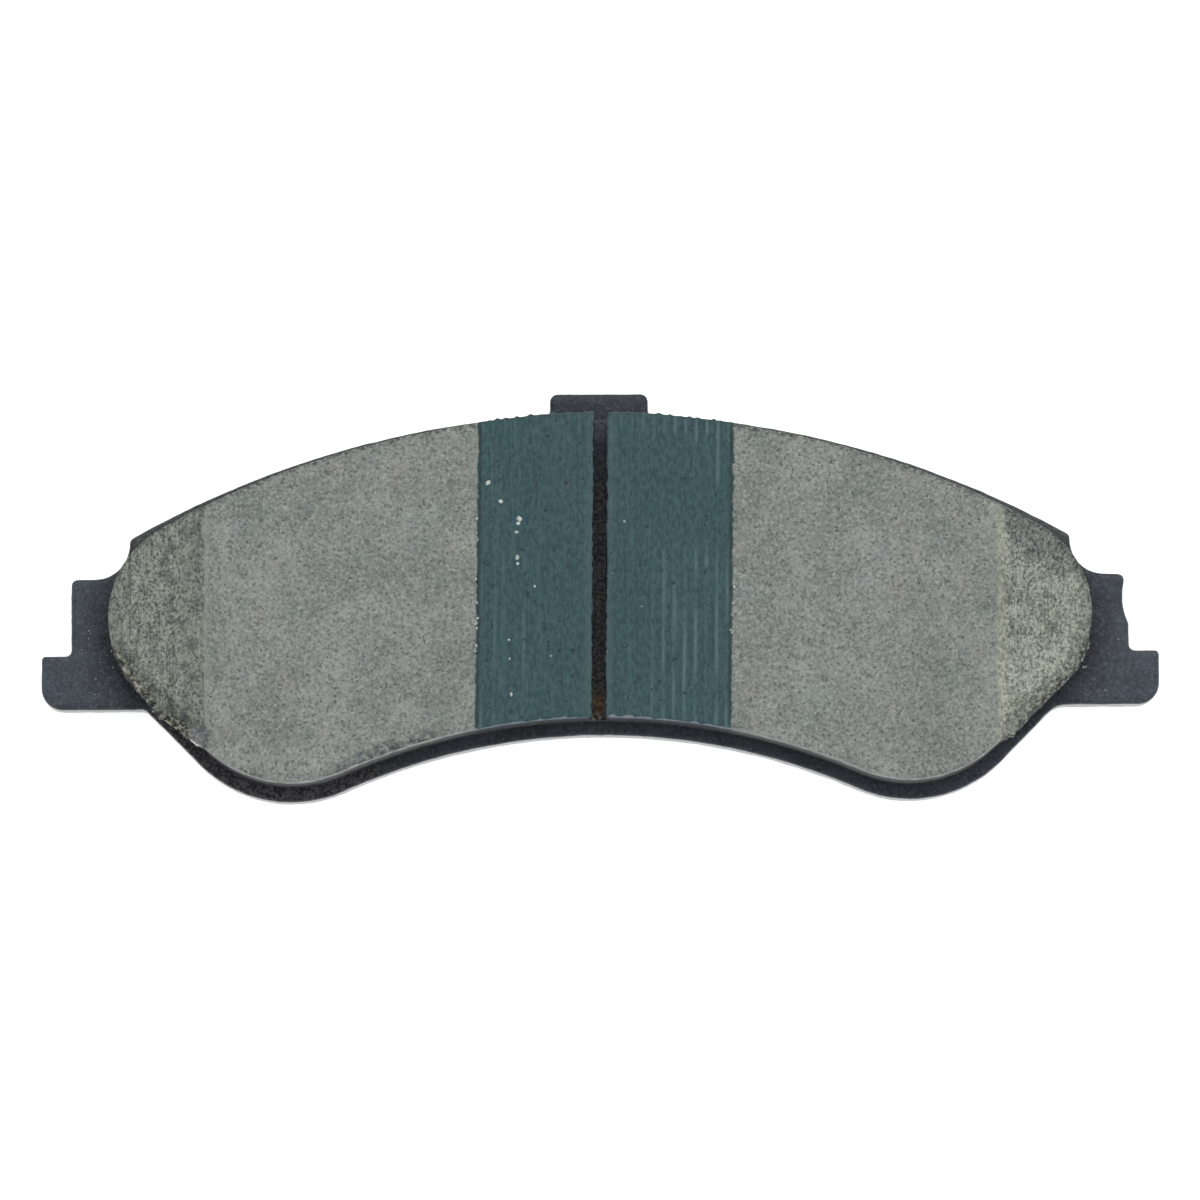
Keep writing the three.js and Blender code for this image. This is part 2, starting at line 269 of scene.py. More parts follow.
# The blocks' outer edge, from left to right, at the underlayer's top.
OUTER_EDGE = cad_loop("underlayer", top=True)
OUTER_EDGE = OUTER_EDGE[OUTER_EDGE[:, 1] > OUTER_EDGE_FROM_Y]
OUTER_EDGE = OUTER_EDGE[np.argsort(OUTER_EDGE[:, 0])]


def outer_edge_y(x):
    """Where the blocks' outer edge runs at a given x."""
    return np.interp(x, OUTER_EDGE[:, 0], OUTER_EDGE[:, 1])


def ground_z(x):
    """The height of the ground face, chamfers included, at a given x."""
    return FACE_Z - CHAMFER_DROP * np.maximum(0.0, np.abs(x) - CHAMFER_X) / (NOSE_X - CHAMFER_X)


def lean_at(y):
    """How far the brush lines have leaned towards +X at a given y."""
    return math.tan(BRUSH_LEAN) * (y - LEAN_PIVOT_Y)


def leaned(place):
    """The x of each place with the lean taken out, so that brush lines run straight."""
    return place[:, 0] - lean_at(place[:, 1])


# ---- repeatable noise ----

def lattice(cell, seed):
    """A number from -1 to 1 for each whole-number cell, the same every run."""
    mask = np.int64(0xFFFFFFFF)
    mixed = (cell[..., 0] * 73856093) ^ (cell[..., 1] * 19349663) ^ (cell[..., 2] * 83492791)
    mixed = (mixed ^ (seed * 2654435761)) & mask
    mixed = ((mixed ^ (mixed >> 15)) * 2246822519) & mask
    mixed = ((mixed ^ (mixed >> 13)) * 3266489917) & mask
    return ((mixed ^ (mixed >> 16)) & 0xFFFFFF) / 0x7FFFFF - 1.0


def noise(places, size, seed):
    """Smooth noise from -1 to 1 with features of a given size, one number or one for each axis."""
    scaled = places / np.asarray(size, float)
    cell = np.floor(scaled).astype(np.int64)
    part = scaled - cell
    part = part * part * (3 - 2 * part)
    total = 0.0
    for corner in np.ndindex(2, 2, 2):
        corner = np.array(corner)
        weight = np.prod(np.where(corner, part, 1 - part), axis=-1)
        total = total + weight * lattice(cell + corner, seed)
    return total


def rough(places, size, seed, octaves=3):
    """Several sizes of noise together, each half the size and half the height of the last."""
    sizes = np.asarray(size, float)
    return sum(noise(places, sizes / 2 ** k, seed + k) / 2 ** k for k in range(octaves))


def ease(low, high, value):
    """0 below low, 1 above high and an even ease between."""
    part = np.clip((value - low) / (high - low), 0, 1)
    return part * part * (3 - 2 * part)


def hump(value, centre, width):
    """1 at the centre, fading to nearly 0 two widths away."""
    return np.exp(-(((value - centre) / width) ** 2))


def flattened(points):
    """Points with or without a height, all at height 0."""
    return np.column_stack([points[:, :2], np.zeros(len(points))])


# ---- meshes ----

def tree_of(points):
    """A search tree of flat points, which finds a point's number."""
    tree = KDTree(len(points))
    for index, (x, y) in enumerate(points):
        tree.insert((x, y, 0), index)
    tree.balance()
    return tree


def nearest_on(outline, points):
    """For each point, the nearest outline point's index and its distance."""
    tree = tree_of(outline.tolist())
    found = [tree.find((x, y, 0)) for x, y in points]
    return [index for _, index, _ in found], [distance for _, _, distance in found]


def crossings(ring, y):
    """The x of each place where a closed ring crosses a given y."""
    a, b = ring, np.roll(ring, -1, 0)
    crossing = (a[:, 1] <= y) != (b[:, 1] <= y)
    a, b = a[crossing], b[crossing]
    return a[:, 0] + (y - a[:, 1]) / (b[:, 1] - a[:, 1]) * (b[:, 0] - a[:, 0])


def holds(ring, x, y):
    """True if a point lies inside a closed ring."""
    return np.count_nonzero(crossings(ring, y) > x) % 2 == 1


def grid_inside(ring, spacing, gap):
    """Points of a triangular grid inside a closed ring and clear of it."""
    low, high = ring.min(0), ring.max(0)
    tree = tree_of(ring.tolist())
    inside = []
    for row, y in enumerate(np.arange(low[1] + gap, high[1], spacing * math.sqrt(0.75))):
        hits = np.sort(crossings(ring, y))
        line = np.arange(low[0] + spacing * (0.25 + 0.5 * (row % 2)), high[0], spacing)
        for left, right in zip(hits[::2], hits[1::2]):
            for x in line[(line > left + gap) & (line < right - gap)].tolist():
                if tree.find((x, y, 0))[2] > gap:
                    inside.append((x, y))
    return inside


def fill(ring, spacing, extra=()):
    """Triangles that fill a ring, and the inner points that they use after the ring's own."""
    count = len(ring)
    edge = np.linalg.norm(ring[1] - ring[0])
    inner = [*grid_inside(ring, spacing, 0.6 * max(spacing, edge)), *extra]
    flat = [Vector(p) for p in ring.tolist() + inner]
    _, _, faces, origins, _, _ = delaunay_2d_cdt(flat, [], [list(range(count))], 1, 1e-6, True)
    triangles = []
    for face in faces:
        corners = [origins[v][0] for v in face]
        if min(corners) >= count or max(corners) >= count or holds(ring, *ring[corners].mean(0)):
            triangles.append(corners)
    return inner, triangles


def wall_faces(first, count, levels):
    """The faces between rings of count vertices, stacked upwards from vertex first."""
    faces = []
    for low in range(first, first + (levels - 1) * count, count):
        high = low + count
        for i in range(count):
            j = (i + 1) % count
            faces.append((low + i, low + j, high + j, high + i))
    return faces


class Solid:
    """A closed solid: rings of one outline stacked upwards, with a filled cap at each end.

    rings holds (inset, height) pairs from the lower cap's edge to the upper one's. For each vertex,
    place is where it is, outward the outline's direction there, and depth how far inside the outline
    it lies. marks holds named values for the material, one for each vertex.
    """

    def __init__(self, outline, rings, upper_spacing, lower_spacing=3.0, extra=()):
        outward = outward_of(outline)
        count = len(outline)
        places = []
        for inset, height in rings:
            ring = outline - outward * inset
            places += [(x, y, height) for x, y in ring.tolist()]
        faces = wall_faces(0, count, len(rings))
        depth = [inset for inset, _ in rings for _ in range(count)]
        sideways = [outward] * len(rings)
        for upper in (False, True):
            inset, height = rings[-1] if upper else rings[0]
            first = (len(rings) - 1) * count if upper else 0
            spacing = upper_spacing if upper else lower_spacing
            inner, triangles = fill(outline - outward * inset, spacing, extra if upper else ())
            base = len(places) - count
            for triangle in triangles:
                corners = [first + v if v < count else base + v for v in triangle]
                faces.append(corners if upper else corners[::-1])
            places += [(x, y, height) for x, y in inner]
            nearest, distance = nearest_on(outline, inner)
            depth += distance
            sideways.append(outward[nearest] if inner else np.zeros((0, 2)))
        self.place = np.array(places)
        self.faces = faces
        self.depth = np.array(depth)
        self.outward = np.vstack(sideways)
        self.on_side = np.arange(len(places)) < len(rings) * count
        self.marks = {}

    def push_out(self, amount, where=None):
        """Moves vertices along the outline's outward direction."""
        amount = amount if where is None else np.where(where, amount, 0.0)
        self.place[:, :2] += self.outward * amount[:, None]

    def lift(self, amount):
        """Moves vertices up."""
        self.place[:, 2] += amount

    def finish(self, name, material, node=None):
        """Makes the Blender object, riding the pad's one body, and hides the CAD node that it stands for,
        if any.
        """
        piece = mesh_piece(name, self.place, self.faces, material, self.marks)
        if node:
            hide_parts(node)


def mesh_piece(name, places, faces, material, marks=None):
    """A smooth-shaded mesh object in metres, with a named value for each vertex where marks says."""
    mesh = bpy.data.meshes.new(name)
    mesh.from_pydata((places * MM).tolist(), [], [list(face) for face in faces])
    for mark, values in (marks or {}).items():
        mesh.attributes.new(mark, "FLOAT", "POINT").data.foreach_set("value", values.astype(np.float32))
    mesh.materials.append(material)
    mesh.shade_smooth()
    piece = bpy.data.objects.new(name, mesh)
    bpy.context.scene.collection.objects.link(piece)
    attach(piece, "root")
    return piece


# ---- materials ----

def srgb(red, green, blue):
    """A screen colour, 0 to 255, as the linear colour that a shader takes."""
    def linear(value):
        value /= 255
        return value / 12.92 if value <= 0.04045 else ((value + 0.055) / 1.055) ** 2.4
    return (linear(red), linear(green), linear(blue), 1.0)


class Finish:
    """One procedural material, with its texture sizes in millimetres on the object.

    A value is a number or another node's output. A colour is a screen colour of three numbers or
    another node's output.
    """

    def __init__(self, name, roughness=0.5, metallic=0.0, specular=0.5):
        self.material = bpy.data.materials.new(name)
        self.material.use_nodes = True
        self.nodes = self.material.node_tree.nodes
        self.links = self.material.node_tree.links
        self.shader = self.nodes["Principled BSDF"]
        self.shader.inputs["Roughness"].default_value = roughness
        self.shader.inputs["Metallic"].default_value = metallic
        self.shader.inputs["Specular IOR Level"].default_value = specular
        self.place = self.nodes.new("ShaderNodeTexCoord").outputs["Object"]

    def put(self, socket, value):
        """Sets a socket to a value or colour, or links it to another node's output."""
        if isinstance(value, bpy.types.NodeSocket):
            self.links.new(value, socket)
        elif isinstance(value, tuple):
            socket.default_value = srgb(*value)
        else:
            socket.default_value = value

    def texture(self, kind, size, shift):
        """A texture node with features of one size or of a size for each axis."""
        mapping = self.nodes.new("ShaderNodeMapping")
        self.links.new(self.place, mapping.inputs["Vector"])
        mapping.inputs["Scale"].default_value = [1 / (MM * s) for s in size]
        mapping.inputs["Location"].default_value = (shift, 1.7 * shift, 2.3 * shift)
        node = self.nodes.new(kind)
        self.links.new(mapping.outputs["Vector"], node.inputs["Vector"])
        node.inputs["Scale"].default_value = 1.0
        return node

    def noise(self, size, detail=2.0, roughness=0.5, shift=0.0):
        """Cloudy noise, 0 to 1, with features of one size or of a size for each axis."""
        size = size if isinstance(size, tuple) else (size,) * 3
        node = self.texture("ShaderNodeTexNoise", size, shift)
        node.inputs["Detail"].default_value = detail
        node.inputs["Roughness"].default_value = roughness
        return node.outputs["Fac"]

    def spots(self, spacing, radius, share, shift=0.0, softness=0.35):
        """Scattered round spots, 1 inside: one in each cell of a loose grid, for a share of cells."""
        size = spacing if isinstance(spacing, tuple) else (spacing,) * 3
        node = self.texture("ShaderNodeTexVoronoi", size, shift)
        edge = radius / size[0]
        inside = self.range(node.outputs["Distance"], edge, edge * (1 - softness))
        split = self.nodes.new("ShaderNodeSeparateColor")
        self.links.new(node.outputs["Color"], split.inputs["Color"])
        return self.times(inside, self.math("LESS_THAN", split.outputs["Red"], share))

    def mark(self, name):
        """One of the mesh's named values."""
        node = self.nodes.new("ShaderNodeAttribute")
        node.attribute_name = name
        return node.outputs["Fac"]

    def axis(self, name):
        """The place on the object along one axis, in millimetres."""
        split = self.nodes.new("ShaderNodeSeparateXYZ")
        self.links.new(self.place, split.inputs["Vector"])
        return self.times(split.outputs[name], 1 / MM)

    def math(self, operation, first, second=0.0):
        """One sum, difference, product, comparison or other step on values."""
        node = self.nodes.new("ShaderNodeMath")
        node.operation = operation
        self.put(node.inputs[0], first)
        self.put(node.inputs[1], second)
        return node.outputs[0]

    def times(self, first, second):
        """The product of two values."""
        return self.math("MULTIPLY", first, second)

    def slope(self, value, middle, rise):
        """0 at the middle, rising by rise for each unit of value."""
        return self.times(self.math("SUBTRACT", value, middle), rise)

    def range(self, value, low, high, to_low=0.0, to_high=1.0):
        """Maps low..high to to_low..to_high with a smooth ease, and holds it beyond."""
        node = self.nodes.new("ShaderNodeMapRange")
        node.interpolation_type = "SMOOTHSTEP"
        for socket, number in zip(list(node.inputs)[:5], (value, low, high, to_low, to_high)):
            self.put(socket, number)
        return node.outputs[0]

    def rise(self, value, low, high, most=1.0):
        """0 up to low, easing to most at high and beyond."""
        return self.range(value, low, high, 0.0, most)

    def window(self, value, ends, fade):
        """1 between two ends, easing to 0 at each over the fade."""
        low, high = ends
        return self.times(self.rise(value, low, low + fade), self.rise(value, high, high - fade))

    def mix(self, share, first, second):
        """The second colour laid over the first by a share."""
        node = self.nodes.new("ShaderNodeMix")
        node.data_type = "RGBA"
        below, above = [socket for socket in node.inputs if socket.type == "RGBA"]
        self.put(node.inputs["Factor"], share)
        self.put(below, first)
        self.put(above, second)
        return next(socket for socket in node.outputs if socket.type == "RGBA")

    def layered(self, colour, *layers):
        """A colour with others laid over it in turn, each layer a share and a colour."""
        for share, upper in layers:
            colour = self.mix(share, colour, upper)
        return colour

    def colour(self, value):
        """Sets the surface's colour."""
        self.put(self.shader.inputs["Base Color"], value)

    def rough(self, value):
        """Sets the surface's roughness."""
        self.put(self.shader.inputs["Roughness"], value)

    def bump(self, *layers):
        """Raises the surface by each (height, millimetres) pair, one on top of the other."""
        normal = None
        for height, distance in layers:
            node = self.nodes.new("ShaderNodeBump")
            node.inputs["Distance"].default_value = distance * MM
            self.put(node.inputs["Height"], height)
            if normal is not None:
                self.links.new(normal, node.inputs["Normal"])
            normal = node.outputs["Normal"]
        self.links.new(normal, self.shader.inputs["Normal"])


def friction_finish():
    """Ground friction compound: grey-green, speckled, rougher and yellower on the chamfers."""
    f = Finish("friction_compound", roughness=0.85, specular=0.3)
    torn = f.noise(0.6, detail=3.0, roughness=0.6, shift=29.0)
    crust = f.mix(f.range(torn, 0.44, 0.56), (70, 70, 62), (152, 151, 137))
    f.colour(f.layered(
        ground_face_colour(f),
        (f.mark("chamfer"), chamfer_colour(f)),
        # Painted shade: the hollow inside a crumbled edge darkened.
        (f.times(f.mark("hollow"), f.range(torn, 0.4, 0.58, 0.15, 0.8)), (58, 62, 60)),
        (f.mark("crust"), crust),
        (f.times(f.mark("torn"), f.range(torn, 0.44, 0.57, 0.9, 0.0)), (44, 48, 46)),
        (f.mark("wall"), wall_colour(f)),
    ))
    f.bump((f.noise(0.3, detail=4.0, roughness=0.7, shift=31.0), 0.05))
    return f.material


def wall_colour(f):
    """The moulded wall: pale along the ground edge, darker below and under the coat; painted shade on its
    rear and where broken.
    """
    skin = f.range(f.noise(1.2, detail=3.0, shift=37.0), 0.35, 0.65)
    pale = f.layered(
        f.mix(skin, (118, 121, 121), (150, 152, 149)),
        # Painted shade: walls on the rear (+Y) side, which face the key light, are darker than the near
        # walls.
        (f.rise(f.axis("Y"), 2.0, 10.0, 0.65), (78, 81, 80)),
        (f.mark("painted"), (98, 112, 120)),
    )
    below = f.mix(f.mark("painted"), (60, 62, 64), (30, 36, 44))
    height = f.math("ADD", f.axis("Z"), f.slope(f.noise(2.5, detail=3.0, shift=83.0), 0.5, 2.4))
    whole = f.mix(f.range(height, FACE_Z - 5.0, FACE_Z - 1.6), below, pale)
    fine = f.noise(0.4, detail=4.0, roughness=0.7, shift=79.0)
    # Painted shade: the broken wall below a crumbled slope darkened, as if in the slope's shadow.
    burst_shade = f.mix(f.range(fine, 0.36, 0.64), (38, 41, 41), (84, 86, 82))
    upper = f.range(f.axis("Z"), FACE_Z - 7.5, FACE_Z - 4.0, 0.2, 1.0)
    return f.mix(f.times(f.mark("burst_shade"), upper), whole, burst_shade)


def ground_face_colour(f):
    """The flat face: warm and cool clouds, a worm-like grain, dark pits and a few pale flakes."""
    clouds = f.noise(9.0, detail=3.0)
    tint = f.noise(6.0, detail=2.0, shift=41.0)
    patches = f.noise(2.4, detail=3.0, shift=3.0)
    grain = f.noise(0.42, detail=4.0, roughness=0.65, shift=7.0)
    scuffs = f.range(f.noise(0.8, detail=3.0, roughness=0.65, shift=61.0), 0.42, 0.6, 0.1, 0.9)
    return f.layered(
        f.mix(f.range(clouds, 0.3, 0.7), (117, 123, 119), (139, 144, 138)),
        (f.rise(tint, 0.55, 0.75, 0.5), (138, 133, 128)),
        (f.rise(tint, 0.45, 0.25, 0.4), (124, 132, 136)),
        (f.rise(patches, 0.35, 0.75, 0.5), (116, 122, 117)),
        (f.rise(grain, 0.5, 0.7, 0.8), (161, 166, 158)),
        (f.rise(grain, 0.5, 0.33, 0.9), (83, 88, 85)),
        (f.times(f.spots(1.1, 0.22, 0.45, shift=11.0), 0.7), (62, 66, 65)),
        (f.times(f.spots(1.6, 0.15, 0.25, shift=17.0), 0.7), (182, 185, 176)),
        (f.times(f.mark("stain"), scuffs), (70, 77, 80)),
    )


def chamfer_grain(f, coarse, blotches, right_side):
    """Coarse grains, dark pits, pale chips and upright grinding scratches, paler on the right as painted
    light.
    """
    # Painted light: the right chamfer, tilted towards the brighter side, is paler than the left one.
    light = f.mix(right_side, (150, 155, 146), (162, 167, 155))
    dark = f.mix(right_side, (60, 66, 61), (68, 73, 68))
    scratches = f.noise((0.28, 14.0, 14.0), detail=2.0, shift=47.0)
    pits = f.spots((0.9, 1.0, 1.0), 0.26, 0.5, shift=53.0, softness=0.5)
    chips = f.spots((0.5, 0.55, 0.55), 0.13, 0.3, shift=73.0, softness=0.6)
    return f.layered(
        f.mix(f.range(coarse, 0.38, 0.6), dark, light),
        (f.rise(blotches, 0.5, 0.62, 0.5), (66, 71, 67)),
        (f.rise(blotches, 0.46, 0.34, 0.4), (160, 164, 153)),
        (f.times(pits, 0.65), (50, 55, 51)),
        (f.times(chips, 0.5), (190, 194, 182)),
        (f.rise(scratches, 0.4, 0.24, 0.55), (64, 69, 64)),
        (f.rise(scratches, 0.6, 0.76, 0.35), (168, 173, 160)),
    )


def chamfer_colour(f):
    """The chamfers, with their bands along the start and the nose, a scratch and two odd areas."""
    x, y = f.axis("X"), f.axis("Y")
    across = f.math("ABSOLUTE", x)
    right_side = f.range(x, -1.0, 1.0)
    coarse = f.noise((0.46, 0.56, 0.56), detail=5.0, roughness=0.85, shift=23.0)
    blotches = f.noise((1.6, 2.2, 2.2), detail=4.0, roughness=0.65, shift=43.0)
    # On the left, a dark band past the start and a pale line on it. On the right, a pale start.
    band = f.rise(across, CHAMFER_X + 4.2, CHAMFER_X + 2.6, f.rise(right_side, 1.0, 0.0, 0.22))
    line = f.rise(across, CHAMFER_X - 0.1, CHAMFER_X - 0.4, f.rise(right_side, 1.0, 0.0, 0.5))
    start = f.rise(across, CHAMFER_X + 2.0, CHAMFER_X + 0.3, f.rise(right_side, 0.0, 1.0, 0.4))
    shows = f.range(f.noise((1.0, 3.0, 3.0), detail=3.0, shift=67.0), 0.4, 0.6, 0.15, 0.6)
    scratch = f.times(f.window(x, SCRATCH_X, 0.2), f.times(shows, f.range(y, -13.0, -10.0)))
    # On the right, the inner part is paler and the outer part is dark and speckled.
    inner_part = f.times(right_side, f.rise(y, -5.0, -11.0, 0.42))
    border = f.math("ADD", f.math("ADD", y, f.slope(blotches, 0.5, 12.0)), f.slope(x, 62.0, 0.54))
    outer_part = f.times(f.range(x, CHAMFER_X + 0.7, CHAMFER_X + 1.9), f.rise(border, 5.0, 9.0, 0.85))
    return f.layered(
        chamfer_grain(f, coarse, blotches, right_side),
        (band, (84, 89, 85)),
        (scratch, (54, 59, 55)),
        (start, (152, 155, 138)),
        (line, (150, 154, 146)),
        (inner_part, f.mix(f.range(coarse, 0.39, 0.58), (96, 100, 92), (184, 188, 173))),
        (outer_part, f.mix(f.range(coarse, 0.4, 0.58), (48, 53, 52), (123, 128, 124))),
        (f.rise(across, NOSE_X - 3.0, NOSE_X - 0.5, 0.3), (84, 88, 84)),
    )


def coat_finish():
    """Matte teal coat: brush streaks and mottling, pale ridges, small blisters and a dark border."""
    f = Finish("burnish_coat", roughness=0.6, specular=0.3)
    streaks = f.noise((0.5, 11.0, 4.0), detail=3.0, roughness=0.6)
    mottle = f.noise((0.5, 1.1, 1.1), detail=4.0, roughness=0.7, shift=5.0)
    patches = f.noise((2.4, 4.0, 4.0), detail=2.0, shift=15.0)
    worm = f.rise(f.noise(0.5, detail=2.0, shift=33.0), 0.46, 0.58, 0.85)
    blister = f.spots((1.7, 2.3, 2.3), 0.5, 0.6, shift=9.0, softness=0.5)
    blister_top = f.spots((1.7, 2.3, 2.3), 0.22, 0.4, shift=9.0, softness=0.8)
    light = f.spots((1.5, 1.9, 1.9), 0.14, 0.2, shift=19.0, softness=0.8)
    f.colour(f.layered(
        f.mix(f.range(mottle, 0.34, 0.67), (35, 62, 67), (57, 85, 89)),
        (f.rise(patches, 0.5, 0.7, 0.4), (54, 72, 80)),
        (f.rise(patches, 0.45, 0.3, 0.35), (38, 75, 75)),
        (f.rise(streaks, 0.54, 0.74, 0.36), (74, 101, 103)),
        (f.rise(streaks, 0.44, 0.28, 0.36), (28, 48, 54)),
        (f.times(f.mark("ridge"), 0.66), (106, 132, 131)),
        (f.times(f.mark("groove"), 0.35), (22, 42, 48)),
        (f.times(f.mark("margin"), 0.4), (84, 98, 100)),
        (f.times(blister, worm), (20, 36, 41)),
        (f.times(blister_top, 0.45), (92, 116, 116)),
        (f.times(light, 0.5), (110, 132, 130)),
        (f.mark("green"), (62, 92, 76)),
        (f.times(f.mark("border"), 0.85), (26, 42, 42)),
        (f.mark("rim"), (60, 76, 78)),
    ))
    f.bump((f.noise((0.4, 0.9, 0.9), detail=3.0, shift=13.0), 0.03))
    return f.material


def plate_top_colour(f, patches, grain):
    """The plate's upper side: orange peel, dust and scuffs, with painted shade and painted highlights."""
    x, y = f.axis("X"), f.axis("Y")
    across = f.math("ABSOLUTE", x)
    crescent = f.times(f.range(across, 20.0, 30.0), f.rise(y, 3.0, 6.0, 0.65))
    shadow_streak = f.times(f.window(y, SHADOW_STREAK_Y, 0.8), f.range(grain, 0.62, 0.5))
    left_lobe = f.times(f.range(y, -15.0, -19.0), f.range(x, -30.0, -36.0))
    speckle = f.times(f.spots(0.62, 0.19, 0.5, shift=14.0, softness=0.7), f.mark("near"))
    dust = f.spots(2.2, 0.14, 0.35, shift=4.0)
    return f.layered(
        f.mix(f.range(patches, 0.35, 0.7), (50, 54, 62), (67, 73, 81)),
        (f.rise(grain, 0.52, 0.67, 0.6), (94, 102, 110)),
        (f.rise(grain, 0.47, 0.33, 0.7), (22, 26, 33)),
        # Painted highlight: the top lighter along the rolled edges, where they catch the light.
        (f.times(f.mark("edge"), 0.3), (78, 86, 94)),
        (crescent, f.mix(f.range(grain, 0.4, 0.6), (66, 70, 68), (98, 101, 96))),
        # Painted light: the ears lighter towards their outer ends, away from the blocks' shade.
        (f.rise(across, 73.5, 78.5, 0.22), (74, 82, 90)),
        # Painted shade: the tab darker and bluer, against the key light that falls on it.
        (f.rise(y, 22.0, 27.0, 0.25), (24, 30, 42)),
        # Painted shade: the plate darkened next to the blocks, where their walls shade it.
        (f.times(f.mark("near"), 0.5), (18, 22, 28)),
        # Painted shadow: a dark streak on the left ear, next to the block's nose.
        (f.times(f.window(x, SHADOW_STREAK_X, 0.3), shadow_streak), (10, 12, 14)),
        (f.times(left_lobe, 0.8), f.mix(f.range(grain, 0.42, 0.6), (26, 24, 26), (84, 80, 82))),
        (f.times(speckle, 0.7), (96, 98, 100)),
        (f.times(dust, 0.3), (132, 136, 134)),
    )


def plate_finish():
    """Satin black powder coat: an orange-peel top with dust, and a smooth sheared wall."""
    f = Finish("plate_powder_coat", specular=0.2)
    patches = f.noise(5.0, detail=4.0, roughness=0.6)
    grain = f.noise(0.5, detail=3.0, roughness=0.7, shift=21.0)
    wall = f.mark("wall")
    f.colour(f.mix(wall, plate_top_colour(f, patches, grain), (48, 52, 58)))
    f.rough(f.range(wall, 0.0, 1.0, f.range(patches, 0.3, 0.7, 0.36, 0.5), 0.2))
    off_wall = f.range(wall, 1.0, 0.0)
    peel = f.times(f.noise(0.9, detail=2.0, shift=3.0), off_wall)
    fine = f.times(f.noise(0.3, detail=2.0, shift=6.0), off_wall)
    f.bump((peel, 0.05), (fine, 0.02))
    return f.material


def underlayer_finish():
    """Dark moulded bonding layer, with rust-brown residue at the slot's inner end."""
    f = Finish("underlayer", roughness=0.9, specular=0.3)
    grain = f.noise(0.5, detail=4.0, roughness=0.7)
    clumps = f.noise(0.7, detail=3.0, shift=8.0)
    f.colour(f.layered(
        f.mix(f.range(grain, 0.4, 0.62), (48, 51, 54), (102, 103, 107)),
        (f.rise(f.axis("Y"), 14.0, 23.0, 0.55), (66, 76, 90)),
        (f.mark("rust"), f.mix(f.range(clumps, 0.38, 0.66), (64, 54, 44), (124, 103, 76))),
        (f.mark("skin"), (40, 40, 42)),
        (f.mark("lip"), f.mix(f.range(clumps, 0.44, 0.6), (34, 32, 30), (108, 106, 98))),
        # Painted highlight: a pale line along the slot floor's outer end, where the layer's edge catches
        # the light.
        (f.mark("brim"), (76, 82, 90)),
    ))
    f.bump((grain, 0.08))
    return f.material


def smear_finish():
    """A half-clear smear of resin: grey-blue in the middle, white along its lower rim."""
    f = Finish("resin_smear", roughness=0.55, specular=0.3)
    patches = f.noise(1.3, detail=3.0)
    speckle = f.noise(0.4, detail=3.0, roughness=0.7, shift=27.0)
    x = f.axis("X")
    middle_x = SMEAR_CENTRE[0]
    dark = f.rise(x, middle_x - 0.3, middle_x + 0.5, f.range(speckle, 0.38, 0.56, 0.9, 0.4))
    wander = f.math("ADD", x, f.range(patches, 0.3, 0.7, -0.4, 0.4))
    ground = f.mix(f.range(speckle, 0.36, 0.64), (96, 102, 98), (138, 143, 137))
    f.colour(f.layered(
        f.mix(f.range(patches, 0.38, 0.62), (84, 87, 89), (116, 117, 118)),
        (f.rise(speckle, 0.5, 0.34, 0.7), (58, 62, 62)),
        (f.rise(speckle, 0.52, 0.68, 0.6), (140, 143, 139)),
        (dark, (66, 72, 72)),
        (f.range(wander, middle_x + 0.7, middle_x + 1.3), ground),
        (f.mark("rim"), (206, 206, 202)),
    ))
    f.bump((f.noise(0.4, detail=2.0, shift=5.0), 0.04))
    return f.material


def grained_finish(name, dark, light, size, detail, roughness=0.5, specular=0.5):
    """A finish that wanders between two colours, in clouds of one size."""
    f = Finish(name, roughness, specular=specular)
    f.colour(f.mix(f.range(f.noise(size, detail), 0.35, 0.65), dark, light))
    return f


def crumb_finish(name, dark, light):
    """Loose crumbs of compound or coat."""
    f = grained_finish(name, dark, light, 0.4, 2.0, roughness=0.85, specular=0.3)
    f.bump((f.noise(0.12, detail=2.0), 0.02))
    return f.material


def rubber_finish(name, dark, light):
    """Thin bonded rubber with a fine grain."""
    f = grained_finish(name, dark, light, 2.0, 4.0, roughness=0.8, specular=0.3)
    f.bump((f.noise(0.3, detail=3.0), 0.03))
    return f.material


def adhesive_finish():
    """Dull yellowish adhesive film."""
    return grained_finish("shim_adhesive", (150, 136, 92), (176, 160, 112), 4.0, 3.0).material


def steel_finish():
    """Bare rolled sheet steel."""
    f = Finish("shim_steel", metallic=1.0)
    marks = f.noise((6.0, 0.3, 0.3), detail=3.0)
    f.colour(f.mix(f.range(marks, 0.3, 0.7), (126, 128, 132), (168, 170, 172)))
    f.rough(f.range(marks, 0.3, 0.7, 0.3, 0.46))
    return f.material


# ---- the camera and the light ----

def make_camera():
    """A long lens straight over the pad, leaning a little towards the pad's inner edge."""
    data = bpy.data.cameras.new("camera")
    data.sensor_width = SENSOR_WIDTH
    data.lens = SENSOR_WIDTH * CAMERA_DISTANCE / VIEW_WIDTH
    data.clip_end = 20.0
    camera = bpy.data.objects.new("camera", data)
    target = Matrix.Translation(Vector((0, VIEW_CENTRE_Y, PLATE_HIGH[2])) * MM)
    turn = Matrix.Rotation(CAMERA_LEAN, 4, "X") @ Matrix.Rotation(-CAMERA_ROLL, 4, "Z")
    camera.matrix_world = target @ turn @ Matrix.Translation((0, 0, CAMERA_DISTANCE * MM))
    bpy.context.scene.collection.objects.link(camera)
    bpy.context.scene.camera = camera


